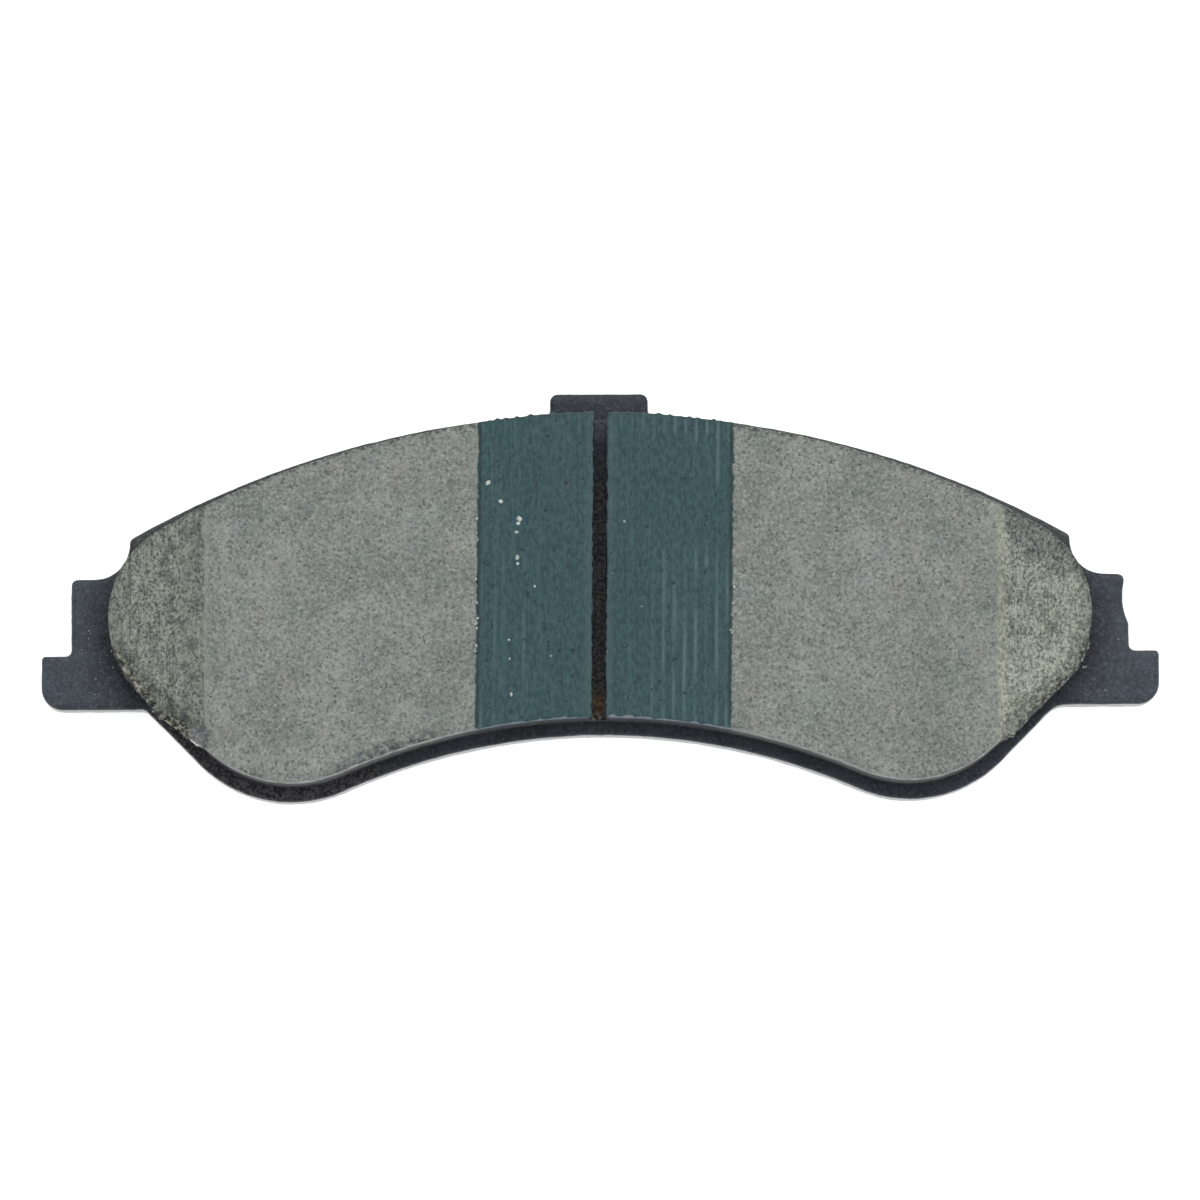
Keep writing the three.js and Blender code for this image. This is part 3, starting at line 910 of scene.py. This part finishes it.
def make_light(name, place, size, power):
    """A square softbox aimed at the pad, its place and size in metres."""
    data = bpy.data.lights.new(name, "AREA")
    data.size = size
    data.energy = power
    light = bpy.data.objects.new(name, data)
    light.location = place
    light.rotation_euler = (-Vector(place)).to_track_quat("-Z", "Y").to_euler()
    bpy.context.scene.collection.objects.link(light)


def clear_from_behind(f):
    """Makes a finish see-through on its back, so that the pad's back can be looked at from below."""
    geometry = f.nodes.new("ShaderNodeNewGeometry")
    clear = f.nodes.new("ShaderNodeBsdfTransparent")
    pick = f.nodes.new("ShaderNodeMixShader")
    f.links.new(geometry.outputs["Backfacing"], pick.inputs[0])
    f.links.new(f.shader.outputs[0], pick.inputs[1])
    f.links.new(clear.outputs[0], pick.inputs[2])
    f.links.new(pick.outputs[0], f.nodes["Material Output"].inputs["Surface"])


def make_table():
    """A white table with a little light of its own, as a lit acrylic sheet has."""
    reach = TABLE_REACH * MM
    z = -TABLE_GAP * MM
    corners = [(-reach, -reach, z), (reach, -reach, z), (reach, reach, z), (-reach, reach, z)]
    mesh = bpy.data.meshes.new("table")
    mesh.from_pydata(corners, [], [(0, 1, 2, 3)])
    f = Finish("table_white", roughness=0.7, specular=0.2)
    f.colour(f.mix(f.range(f.noise(60.0), 0.3, 0.7), (241.05,) * 3, (243.44,) * 3))
    f.shader.inputs["Emission Color"].default_value = (1.0, 1.0, 1.0, 1.0)
    f.shader.inputs["Emission Strength"].default_value = TABLE_GLOW
    clear_from_behind(f)
    mesh.materials.append(f.material)
    table = bpy.data.objects.new("table", mesh)
    bpy.context.scene.collection.objects.link(table)


def make_studio():
    """An even white surround, a large softbox high up beyond the tab and a weak one on the right."""
    world = bpy.data.worlds.new("studio")
    world.use_nodes = True
    background = world.node_tree.nodes["Background"]
    background.inputs["Color"].default_value = (1.0, 1.0, 1.0, 1.0)
    background.inputs["Strength"].default_value = SURROUND
    bpy.context.scene.world = world
    bpy.context.scene.view_settings.view_transform = "Standard"
    for name, (place, size, power) in SOFTBOXES.items():
        make_light(name, place, size, power)
    make_table()


# ---- the pieces ----

def edge_rings(low, high, lower_radius, upper_radius, step):
    """Rings for a straight wall with rounded lower and upper edges."""
    turns = [math.radians(a) for a in (90, 67, 45, 22, 0)]
    arc = [(1 - math.cos(turn), 1 - math.sin(turn)) for turn in turns]
    lower = [(lower_radius * inset, low + lower_radius * rise) for inset, rise in arc]
    upper = [(upper_radius * inset, high - upper_radius * drop) for inset, drop in arc[::-1]]
    start, end = lower[-1][1], upper[0][1]
    count = max(1, round((end - start) / step))
    wall = [(0.0, start + (end - start) * k / count) for k in range(1, count)]
    return lower + wall + upper


def soften_corner(loop, corner, passes=8):
    """Rounds the part of an outline that lies close to one corner."""
    for _ in range(passes):
        share = ease(2.6, 1.2, np.linalg.norm(loop - corner, axis=1))[:, None]
        loop = loop + share * (blunted(loop) - loop)
    return loop


def make_plate():
    """The die-cut plate: rolled upper edge, sheared wall, thick powder coat."""
    low, high = PLATE_LOW[2], PLATE_HIGH[2]
    outline = soften_corner(outline_of("backing_plate"), ROUND_CORNER)
    rings = edge_rings(low, high, PLATE_LOWER_RADIUS, PLATE_UPPER_RADIUS, 0.6)
    plate = Solid(outline, rings, 0.7, 2.0)
    place = plate.place
    shear = 0.04 * rough(place, (1.3, 1.3, 4.0), 41) + 0.03 * noise(place, 4.0, 44)
    plate.push_out(shear, plate.on_side)
    upper = place[:, 2] > (low + high) / 2
    plate.lift(np.where(upper, 0.012 * rough(place, 2.2, 47), 0.0))
    plate.marks["wall"] = plate.on_side * (1 - ease(high - 0.5, high - 0.1, place[:, 2]))
    _, distance = nearest_on(outline_of("underlayer", top=True), place[:, :2].tolist())
    # How close each place lies to the blocks: it darkens the plate there as painted shade, and places
    # pale specks.
    plate.marks["near"] = np.exp(-np.array(distance) / 2.2)
    # Painted highlight along the top's rolled edges, fading inwards.
    plate.marks["edge"] = ~plate.on_side * np.exp(-plate.depth / 1.3)
    plate.finish("plate", plate_finish(), "backing_plate")


def crumbled(place, side):
    """How broken a place is: up to 1 along the slope below the chamfer."""
    outer = ease(CHAMFER_X - 0.5, CHAMFER_X + 1.5, np.abs(place[:, 0]))
    below = ease(-6.0, -9.5, place[:, 1])
    return outer * below * CRUMBLING[side]


def shape_block_top(block, seed):
    """Grinds the chamfer and roughens the face, and returns how near the top each vertex is.

    The face has a fine grain everywhere and grooves on the chamfer.
    """
    x = block.place[:, 0]
    across = np.abs(x)
    share = (block.place[:, 2] - BLOCK_LOW[2]) / (FACE_Z - BLOCK_LOW[2])
    block.lift(share * (ground_z(across) - FACE_Z))
    top = ease(0.9, 1.0, share)
    flat = flattened(block.place)
    wander = 0.5 * rough(flat, 1.4, seed + 13)
    start = CHAMFER_X - 1.1 + 0.7 * (x > 0)
    chamfer = ease(start, start + 0.8, across + 0.7 * wander)
    grain = 0.01 * rough(flat, 0.9, seed)
    grooves = 0.03 * rough(flat, (0.5, 9.0, 9.0), seed + 5) + 0.04 * rough(flat, 0.9, seed + 9)
    block.lift(top * (grain + chamfer * grooves))
    block.marks["chamfer"] = chamfer
    block.marks["wall"] = 1 - ease(0.93, 0.99, share)
    block.marks["painted"] = ease(21.0, 17.5, across) * (block.place[:, 1] < 0)
    return top


def bitten(flat, side):
    """How far the ground face's edge has crumbled back: small nicks, and deep breaks on the slope."""
    seed = EDGE_SEED[side]
    nicks = 0.35 * ease(0.15, 0.9, rough(flat, 1.6, seed))
    nicks += 0.4 * ease(0.1, 0.8, noise(flat, 0.9, seed + 3)) * ease(-5.0, 5.0, flat[:, 1])
    breaks = 0.7 * ease(-0.1, 0.8, rough(flat, 1.3, seed + 11)) - 0.5 * noise(flat, 0.8, seed + 14)
    return nicks + crumbled(flat, side) * breaks


def hanging_flap(place, side):
    """How far torn compound hangs out past a block's moulded slope: all along it on the left block."""
    x = place[:, 0]
    if side == "left":
        reach = 1.1 * ease(-71.0, -66.0, x) * ease(-59.8, -62.5, x)
    else:
        reach = 0.8 * ease(60.0, 60.8, x) * ease(64.4, 62.6, x)
    return reach * (place[:, 1] < -6) * (1 + 0.25 * noise(flattened(place), 1.5, 171))


def chip_edges(block, top, side):
    """Crumbles the ground face's edge, most of all on the slopes, and roughens the moulded wall."""
    seed = EDGE_SEED[side]
    place = block.place
    flat = flattened(place)
    broken = crumbled(flat, side)
    bite = bitten(flat, side)
    near = 1 - ease(0.0, 0.9 + 0.9 * broken, block.depth)
    flap = hanging_flap(flat, side)
    block.push_out((flap * (0.4 + 0.6 * top) - bite * top) * near)
    block.lift(-np.maximum(bite, 0) * near * top * 0.8)
    block.lift(top * near * broken * 0.16 * noise(flat, 0.5, seed + 17))
    wall = block.on_side & (top < 0.5)
    # Where the wall has broken open below the slope, painted shade darkens it.
    block.marks["burst_shade"] = ease(0.2, 0.8, broken + 0.3 * rough(place, (2.4, 2.4, 5.0), seed + 37))
    ragged = 0.34 * rough(place, (0.9, 0.9, 2.2), seed + 29) + 0.12
    block.push_out(broken * ragged, wall)
    grain = 0.05 * rough(place, (1.3, 1.3, 3.0), seed + 7) + 0.03 * noise(place, 0.6, seed + 8)
    block.push_out(grain, wall)
    mark_broken_edge(block, flat, broken, top, side)


def mark_broken_edge(block, flat, broken, top, side):
    """Sinks a hollow inside the crumbled edge and marks hollow (painted shade), crust, torn rim and
    stain.
    """
    seed = EDGE_SEED[side]
    fringe = block.depth + 0.35 * noise(flat, 1.1, seed + 19)
    hollow = hump(fringe, 1.5, 0.8)
    block.lift(-0.25 * hollow * broken * top)
    block.marks["hollow"] = broken * hollow * top
    crust = 1 - ease(0.35, 0.9, fringe)
    block.marks["crust"] = broken * crust * np.maximum(top, 0.5) * (1.0 if side == "left" else 0.3)
    rim = 1 - ease(0.2, 0.9, block.depth + 0.3 * noise(flat, 0.8, seed + 23))
    outer_wear = 0.8 * ease(0.0, 4.0, block.place[:, 1])
    patchy_wear = 0.7 * ease(0.1, 0.6, noise(flat, 2.2, seed + 31))
    block.marks["torn"] = rim * np.maximum(broken, np.maximum(outer_wear, patchy_wear))
    block.marks["stain"] = stained(flat, block.depth, side)


def stained(flat, depth, side):
    """A dark strip inside the left block's inner edge, next to its lobe."""
    if side == "right":
        return np.zeros(len(flat))
    along = ease(-43.0, -37.0, flat[:, 0]) * ease(-20.0, -28.0, flat[:, 0])
    lower = ease(-10.0, -14.0, flat[:, 1])
    return along * lower * (1 - ease(1.0, 2.2, depth + 0.6 * noise(flat, 1.5, 131)))


def sink_pits(block, side, low, high):
    """Presses small round pits into a block's top face, at random places between two corners."""
    draw = np.random.default_rng(PIT_SEED[side])
    centres = draw.uniform(low[:2], high[:2], (PIT_COUNT, 2)).tolist()
    radii = draw.uniform(*PIT_RADIUS, PIT_COUNT).tolist()
    depths = draw.uniform(*PIT_DEPTH, PIT_COUNT).tolist()
    inner = np.flatnonzero(~block.on_side & (block.place[:, 2] > (low[2] + FACE_Z) / 2))
    tree = tree_of(block.place[inner, :2].tolist())
    for (x, y), radius, depth in zip(centres, radii, depths):
        for _, index, distance in tree.find_range((x, y, 0), radius):
            block.place[inner[index], 2] -= depth * (1 - (distance / radius) ** 2)


def make_block(side, material):
    """A moulded friction block: rough wall, broken edge, ground and pitted face, ground chamfer."""
    node = f"friction_block_{side}"
    low, high = box_mm(node)
    shares = [row / WALL_ROWS for row in range(WALL_ROWS + 1)]
    wall = [(0.1 * share, low[2] + 0.98 * (FACE_Z - low[2]) * share) for share in shares]
    rings = wall + [(0.14, FACE_Z - 0.06), (EDGE_INSET, FACE_Z)]
    block = Solid(block_outline(side), rings, 0.28)
    top = shape_block_top(block, BLOCK_SEED[side])
    chip_edges(block, top, side)
    sink_pits(block, side, low, high)
    block.finish(f"friction_{side}", material, node)


def coat_ridges(place, side):
    """How much of a ridge each place has: many short ones at the outer edge and a few long ones."""
    x = leaned(place)
    offset = (LAST_RIDGE_X - x) / RIDGE_PITCH
    number = np.round(offset)
    which = (number.astype(int) + FIRST_DRAW) % RIDGE_DRAWS
    draw = np.random.default_rng(55)
    reach = draw.uniform(0.8, 4.5, RIDGE_DRAWS)[which]
    bright = draw.uniform(0.25, 1.0, RIDGE_DRAWS)[which] * (0.2 + 0.65 * ease(3.0, 13.0, x))
    below_edge = outer_edge_y(place[:, 0]) - place[:, 1]
    line = hump((offset - number) * RIDGE_PITCH, 0, 0.2)
    short = line * bright * ease(reach + 1.0, reach - 0.5, below_edge)
    return np.maximum(short, long_ridges(x, place, side)).clip(0, 1)


def long_ridges(x, place, side):
    """The few ridges that show on the lower half, each faint in places, and one near the outer edge."""
    y = place[:, 1]
    height = np.zeros(len(x))
    for index, centre in enumerate(LONG_RIDGES[side]):
        along = place * (0, 1, 0) + (9.0 * index, 0, 0)
        shows = ease(-0.5, 0.7, noise(along, (1.0, 5.0, 1.0), 57))
        lower_half = ease(9.0, 3.0, y)
        height += hump(x, centre, 0.26) * lower_half * (0.15 + 0.47 * shows) * LONG_RIDGE_HEIGHT[side]
    if side == "right":
        height += 0.6 * hump(x, OUTER_RIDGE_X, 0.24) * ease(14.5, 17.0, y)
    return height


def drips(x, seed):
    """How far the coat laps over the outer edge at each x: a thin lap with small uneven drips."""
    draw = np.random.default_rng(seed)
    lap = 0.06 + 0.22 * ease(15.0, 7.0, np.abs(x))
    for centre in np.arange(-20.0, 20.5, 1.6) + draw.uniform(-0.5, 0.5, 26):
        lap += draw.uniform(0.04, 0.32) * hump(x, centre, draw.uniform(0.22, 0.4))
    return lap


def make_coat(side, material):
    """The brushed-on film: finely ragged sides, small drips over the outer edge, and ridges."""
    node = f"burnish_coat_{side}"
    low, high = box_mm(node)
    seed = COAT_SEED[side]
    film = high[2] - low[2]
    rings = [(0.1, low[2] - 0.1), (0.0, low[2] + 0.4 * film), (0.03, low[2] + 0.85 * film)]
    rings.append((0.12, high[2]))
    coat = Solid(outline_of(node, 0.2, blunting=2), rings, 0.2, 1.2)
    place = coat.place
    flat = flattened(place)
    near = 1 - ease(0.0, 1.2, coat.depth)
    ragged = 0.11 * rough(flat, 1.0, seed) - 0.22 * ease(0.4, 0.8, noise(flat, 0.9, seed + 1))
    hang = drips(flat[:, 0], seed + 2)
    coat.push_out(near * np.where(coat.outward[:, 1] > FACING, hang, ragged))
    ridge = coat_ridges(place, side)
    groove = coat_ridges(place + (0.4, 0, 0), side)
    top = ease(low[2], high[2], place[:, 2])
    long_streaks = rough(place, (0.6, 20.0, 9.0), seed + 6)
    short_streaks = rough(place, (0.7, 1.4, 9.0), seed + 7)
    streaks = 0.012 * long_streaks + 0.012 * short_streaks
    coat.lift(top * (0.05 * ridge - 0.02 * groove + streaks))
    coat.lift(-1.1 * np.maximum(0.0, place[:, 1] - outer_edge_y(place[:, 0])))
    coat.marks["ridge"] = ridge
    coat.marks["groove"] = groove
    mark_coat_edges(coat, side, seed)
    coat.finish(f"coat_{side}", material, node)


def mark_coat_edges(coat, side, seed):
    """Marks the coat's rim, its dark border, its margin along the slot and a green tint on the left."""
    place = coat.place
    away_from_slot = coat.outward[:, 0] * SIGN[side]
    worn = ease(0.0, 0.6, noise(place, 1.2, seed + 8))
    blotch = 0.65 + 0.35 * noise(place, 1.1, seed + 9)
    slot_end = ease(-9.0, -15.0, place[:, 1]) * ease(3.6, 1.4, np.abs(place[:, 0]))
    coat.marks["green"] = 0.4 * slot_end * blotch * (side == "left")
    coat.marks["margin"] = (away_from_slot < -FACING) * hump(coat.depth, 0.5, 0.45) * blotch
    dark = (away_from_slot > FACING) * hump(coat.depth, 0.32, 0.24)
    hem = (coat.outward[:, 1] > FACING) * hump(coat.depth, 0, 0.3)
    coat.marks["border"] = dark * (0.6 + 0.4 * blotch) + 0.7 * hem
    coat.marks["rim"] = (1 - ease(0.0, 0.16, coat.depth)) * (0.25 + 0.75 * worn)


def make_underlayer():
    """The bonding layer, with a rough floor where the slot shows it."""
    low, high = PLATE_HIGH[2], BLOCK_LOW[2]
    outline = outline_of("underlayer", top=True)
    rings = [(-0.05, low), (-0.12, low + 0.3), (-0.1, low + 0.9), (-0.02, high - 0.4), (0.0, high)]
    slot_inner = outline[np.abs(outline[:, 0]) < 1][:, 1].min()
    slot_outer = outer_edge_y(0.0)
    rows = np.arange(slot_inner + 0.6, slot_outer - 0.5, 0.3)
    fine = [(x, y) for y in rows.tolist() for x in np.arange(-SLOT_REACH, SLOT_REACH, 0.3).tolist()]
    layer = Solid(outline, rings, 2.5, 3.0, extra=fine)
    place = layer.place
    layer.push_out(0.08 * rough(place, 0.8, 61), layer.on_side)
    top = place[:, 2] > high - 0.1
    layer.lift(np.where(top & ~layer.on_side, 0.12 * rough(place, 0.9, 66) - 0.1, 0.0))
    y = place[:, 1]
    floor = (np.abs(place[:, 0]) < SLOT_REACH) * top
    rust = ease(slot_inner + 5.6, slot_inner + 2.6, y)
    rust *= ease(slot_inner + 0.5, slot_inner + 1.4, y)
    rust *= 0.35 + 0.65 * ease(1.0, 0.4, np.abs(leaned(place)))
    layer.marks["rust"] = floor * np.maximum(rust, 0.04)
    layer.marks["skin"] = layer.on_side * (1.0 - top)
    layer.marks["lip"] = floor * ease(slot_inner + 1.2, slot_inner + 0.5, y)
    # The slot floor's outer edge, pale as a painted highlight.
    layer.marks["brim"] = floor * ease(slot_outer - 0.3, slot_outer - 0.1, y)
    layer.finish("underlayer_layer", underlayer_finish(), "underlayer")


def make_shim():
    """The laminate on the plate's back, each sheet with its own cut edge."""
    layers = [
        ("rubber_coat", "shim_rubber", rubber_finish("shim_rubber", (24, 24, 26), (38, 38, 40))),
        ("outer_steel", "shim_steel", steel_finish()),
        ("damping_core", "shim_damping", rubber_finish("shim_damping", (20, 19, 19), (34, 32, 30))),
        ("inner_steel", "shim_steel", steel_finish()),
        ("adhesive", "shim_adhesive", adhesive_finish()),
    ]
    for index, (name, slot, material) in enumerate(layers):
        node = f"shim_{name}"
        low, high = box_mm(node)
        radius = 0.3 * (high[2] - low[2])
        rings = edge_rings(low[2], high[2], radius, radius, 0.2)
        sheet = Solid(outline_of(node, 0.8), rings, 4.0, 4.0)
        sheet.push_out(0.04 * noise(sheet.place, 1.5, 70 + index), sheet.on_side)
        sheet.finish(f"shim_layer_{name}", material, node)


def make_crumbs(name, centres, sizes, material, seed):
    """Loose grains, each an uneven little stone."""
    draw = np.random.default_rng(seed)
    ball = bmesh.new()
    bmesh.ops.create_icosphere(ball, subdivisions=2, radius=1.0)
    base = np.array([v.co[:] for v in ball.verts])
    triangles = [[v.index for v in face.verts] for face in ball.faces]
    ball.free()
    places, faces = [], []
    for number, (centre, size) in enumerate(zip(centres, sizes)):
        grain = base * (1 + 0.35 * noise(base * 1.3 + 10 * number, 0.9, seed)[:, None])
        grain = grain * size * draw.uniform((0.7, 0.7, 0.4), (1.2, 1.2, 0.7))
        spin = np.array(Euler((0, 0, draw.uniform(0, math.tau))).to_matrix())
        start = len(places) * len(base)
        places.append(grain @ spin + np.array(centre))
        faces += [[start + v for v in triangle] for triangle in triangles]
    mesh_piece(name, np.vstack(places), faces, material)


def pick_on_slope(draw, side, count, least_broken):
    """Random points of a block's outline along its crumbled slope, and the outward direction at each."""
    outline = block_outline(side)
    chosen = draw.choice(np.flatnonzero(crumbled(outline, side) > least_broken), count)
    return outline[chosen], outward_of(outline)[chosen]


def below_face(flat, fall):
    """Places over flat points, each lower than the ground face by its fall."""
    return np.column_stack([flat, ground_z(flat[:, 0]) - fall])


def make_edge_crumbs(side, material):
    """Grains of compound clinging along a block's crumbled slope."""
    count = EDGE_CRUMBS[side]
    draw = np.random.default_rng(CRUMB_SEED[side])
    points, outward = pick_on_slope(draw, side, count, 0.4)
    edge = flattened(points - outward * EDGE_INSET)
    edge_at = hanging_flap(edge, side) - bitten(edge, side) - EDGE_INSET
    spread = draw.uniform(-0.4, 0.06, count) + edge_at
    centres = below_face(points + outward * spread[:, None], draw.uniform(-0.05, 0.25, count))
    sizes = draw.uniform(0.07, 0.2, count)
    make_crumbs(f"edge_crumbs_{side}", centres, sizes, material, CRUMB_SEED[side])


def make_hanging_crumbs(material):
    """Grains clinging to the wall below the right block's crumbled edge."""
    count = HANGING_CRUMBS
    draw = np.random.default_rng(HANGING_SEED)
    points, outward = pick_on_slope(draw, "right", count, 0.3)
    reach = hanging_flap(points, "right") * 0.4 + draw.uniform(-0.1, 0.2, count)
    centres = below_face(points + outward * reach[:, None], draw.uniform(0.1, 2.5, count))
    sizes = draw.uniform(0.08, 0.24, count)
    make_crumbs("hanging_crumbs_right", centres, sizes, material, HANGING_SEED + 1)


def make_dust(side, material):
    """Grinding dust lying on one ear."""
    draw = np.random.default_rng(DUST_SEED[side])
    edge = outline_of("underlayer", 1.0, top=True)
    centres = [(x, y, PLATE_HIGH[2]) for x, y, _ in LARGE_SPECKS[side]]
    sizes = [radius for _, _, radius in LARGE_SPECKS[side]]
    while len(centres) < SPECK_COUNT[side]:
        x = SIGN[side] * draw.uniform(*EAR_X)
        y = draw.uniform(*EAR_Y)
        if not holds(edge, x, y):
            centres.append((x, y, PLATE_HIGH[2]))
            sizes.append(0.05 + 0.1 * draw.random() ** 3)
    make_crumbs(f"dust_{side}", centres, sizes, material, DUST_SEED[side])


def all_flecks(side):
    """The coat's large flecks and the small random ones along its border with the block."""
    draw = np.random.default_rng(FLECK_SEED[side])
    flecks = list(COAT_FLECKS[side])
    for y in draw.uniform(-9.0, 13.0, BORDER_FLECKS[side]).tolist():
        x = BORDER_X[side] + lean_at(y) + draw.uniform(-0.1, 0.25)
        flecks.append((x, y, draw.uniform(0.08, 0.2), draw.uniform(0.1, 0.24)))
    return flecks


def make_flecks(side, material):
    """Thin pale flecks of bared compound on the coat, with chipped outlines."""
    height = box_mm(f"burnish_coat_{side}")[1][2]
    count = 14
    turn = np.linspace(0, math.tau, count, endpoint=False)
    places, faces = [], []
    for index, (x, y, wide, tall) in enumerate(all_flecks(side)):
        ring = np.stack([np.cos(turn), np.sin(turn), np.full(count, 3.0 * index)], axis=1)
        chipped = 1 + 0.3 * rough(ring, 0.8, FLECK_SEED[side])
        flat = np.stack([x + wide * chipped * ring[:, 0], y + tall * chipped * ring[:, 1]], axis=1)
        centre = flat.mean(0)
        first = len(places)
        for scale, rise in ((1.0, -0.05), (1.0, 0.02), (0.8, 0.07)):
            places += [(*p, height + rise) for p in (centre + (flat - centre) * scale).tolist()]
        faces += wall_faces(first, count, 3)
        faces.append(range(first + count - 1, first - 1, -1))
        faces.append(range(first + 2 * count, first + 3 * count))
    mesh_piece(f"flecks_{side}", np.array(places), faces, material)


def make_smear():
    """A thin smear of resin dragged over the left block's lower corner, its lower rim turned white."""
    turn = np.linspace(0, math.tau, 72, endpoint=False)
    wobble = 1 + 0.08 * np.sin(3 * turn + 1) + 0.05 * np.sin(5 * turn) + 0.03 * np.sin(11 * turn)
    oval = np.stack([np.cos(turn), np.sin(turn)], axis=1) * SMEAR_RADII * wobble[:, None]
    cos, sin = math.cos(SMEAR_LEAN), math.sin(SMEAR_LEAN)
    ring = oval @ np.array([[cos, sin], [-sin, cos]]) + SMEAR_CENTRE
    film = Solid(ring, [(0.12, -0.12), (0.0, 0.0), (0.1, 0.05)], 0.2, 0.5)
    away = film.place[:, :2] - SMEAR_CENTRE
    downhill = ease(0.7, 1.0, -(away @ (0.75, 0.66)) / np.linalg.norm(away, axis=1).clip(0.3))
    near = 1 - ease(0.0, 0.4, film.depth)
    film.lift(ground_z(film.place[:, 0]) + 0.08 * near + 0.04 * rough(film.place, 0.8, 91))
    outline = block_outline("left")
    outward = outward_of(outline)
    nearest, _ = nearest_on(outline, film.place[:, :2].tolist())
    over = ((film.place[:, :2] - outline[nearest]) * outward[nearest]).sum(axis=1) + EDGE_INSET
    film.lift(-0.9 * np.maximum(over, 0.0))
    film.marks["rim"] = downhill * (1 - ease(0.1, 0.35, film.depth))
    film.finish("resin_smear", smear_finish())


def make_shavings(material):
    """Thin curled shavings, each a bent strip that narrows to its ends."""
    places, faces = [], []
    for x, y, heading, radius in SHAVINGS:
        first = len(places)
        for step in range(SHAVING_STEPS + 1):
            angle = math.radians(heading) + SHAVING_BEND * (step / SHAVING_STEPS - 0.5)
            width = 0.05 + 0.22 * math.sin(math.pi * step / SHAVING_STEPS)
            for outer, rise in ((False, 0), (True, 0), (True, width), (False, width)):
                out = radius + SHAVING_THICKNESS * outer
                z = ground_z(x) - 0.25 + rise
                places.append((x + out * math.cos(angle), y + out * math.sin(angle), z))
            if step:
                low, high = first + 4 * (step - 1), first + 4 * step
                faces += [(low + k, high + k, high + (k + 1) % 4, low + (k + 1) % 4) for k in range(4)]
        last = first + 4 * SHAVING_STEPS
        faces += [(first, first + 1, first + 2, first + 3), (last + 3, last + 2, last + 1, last)]
    mesh_piece("shavings_right", np.array(places), faces, material)


make_camera()
make_studio()
make_plate()
make_underlayer()
compound = friction_finish()
teal = coat_finish()
crumb = crumb_finish("compound_crumbs", (86, 88, 82), (156, 158, 148))
dust = crumb_finish("grinding_dust", (90, 93, 92), (160, 162, 156))
fleck = crumb_finish("bared_compound", (158, 168, 162), (196, 204, 198))
for side_name in ("left", "right"):
    make_block(side_name, compound)
    make_coat(side_name, teal)
    make_edge_crumbs(side_name, crumb)
    make_dust(side_name, dust)
    make_flecks(side_name, fleck)
make_hanging_crumbs(crumb)
make_smear()
make_shavings(crumb)
make_shim()
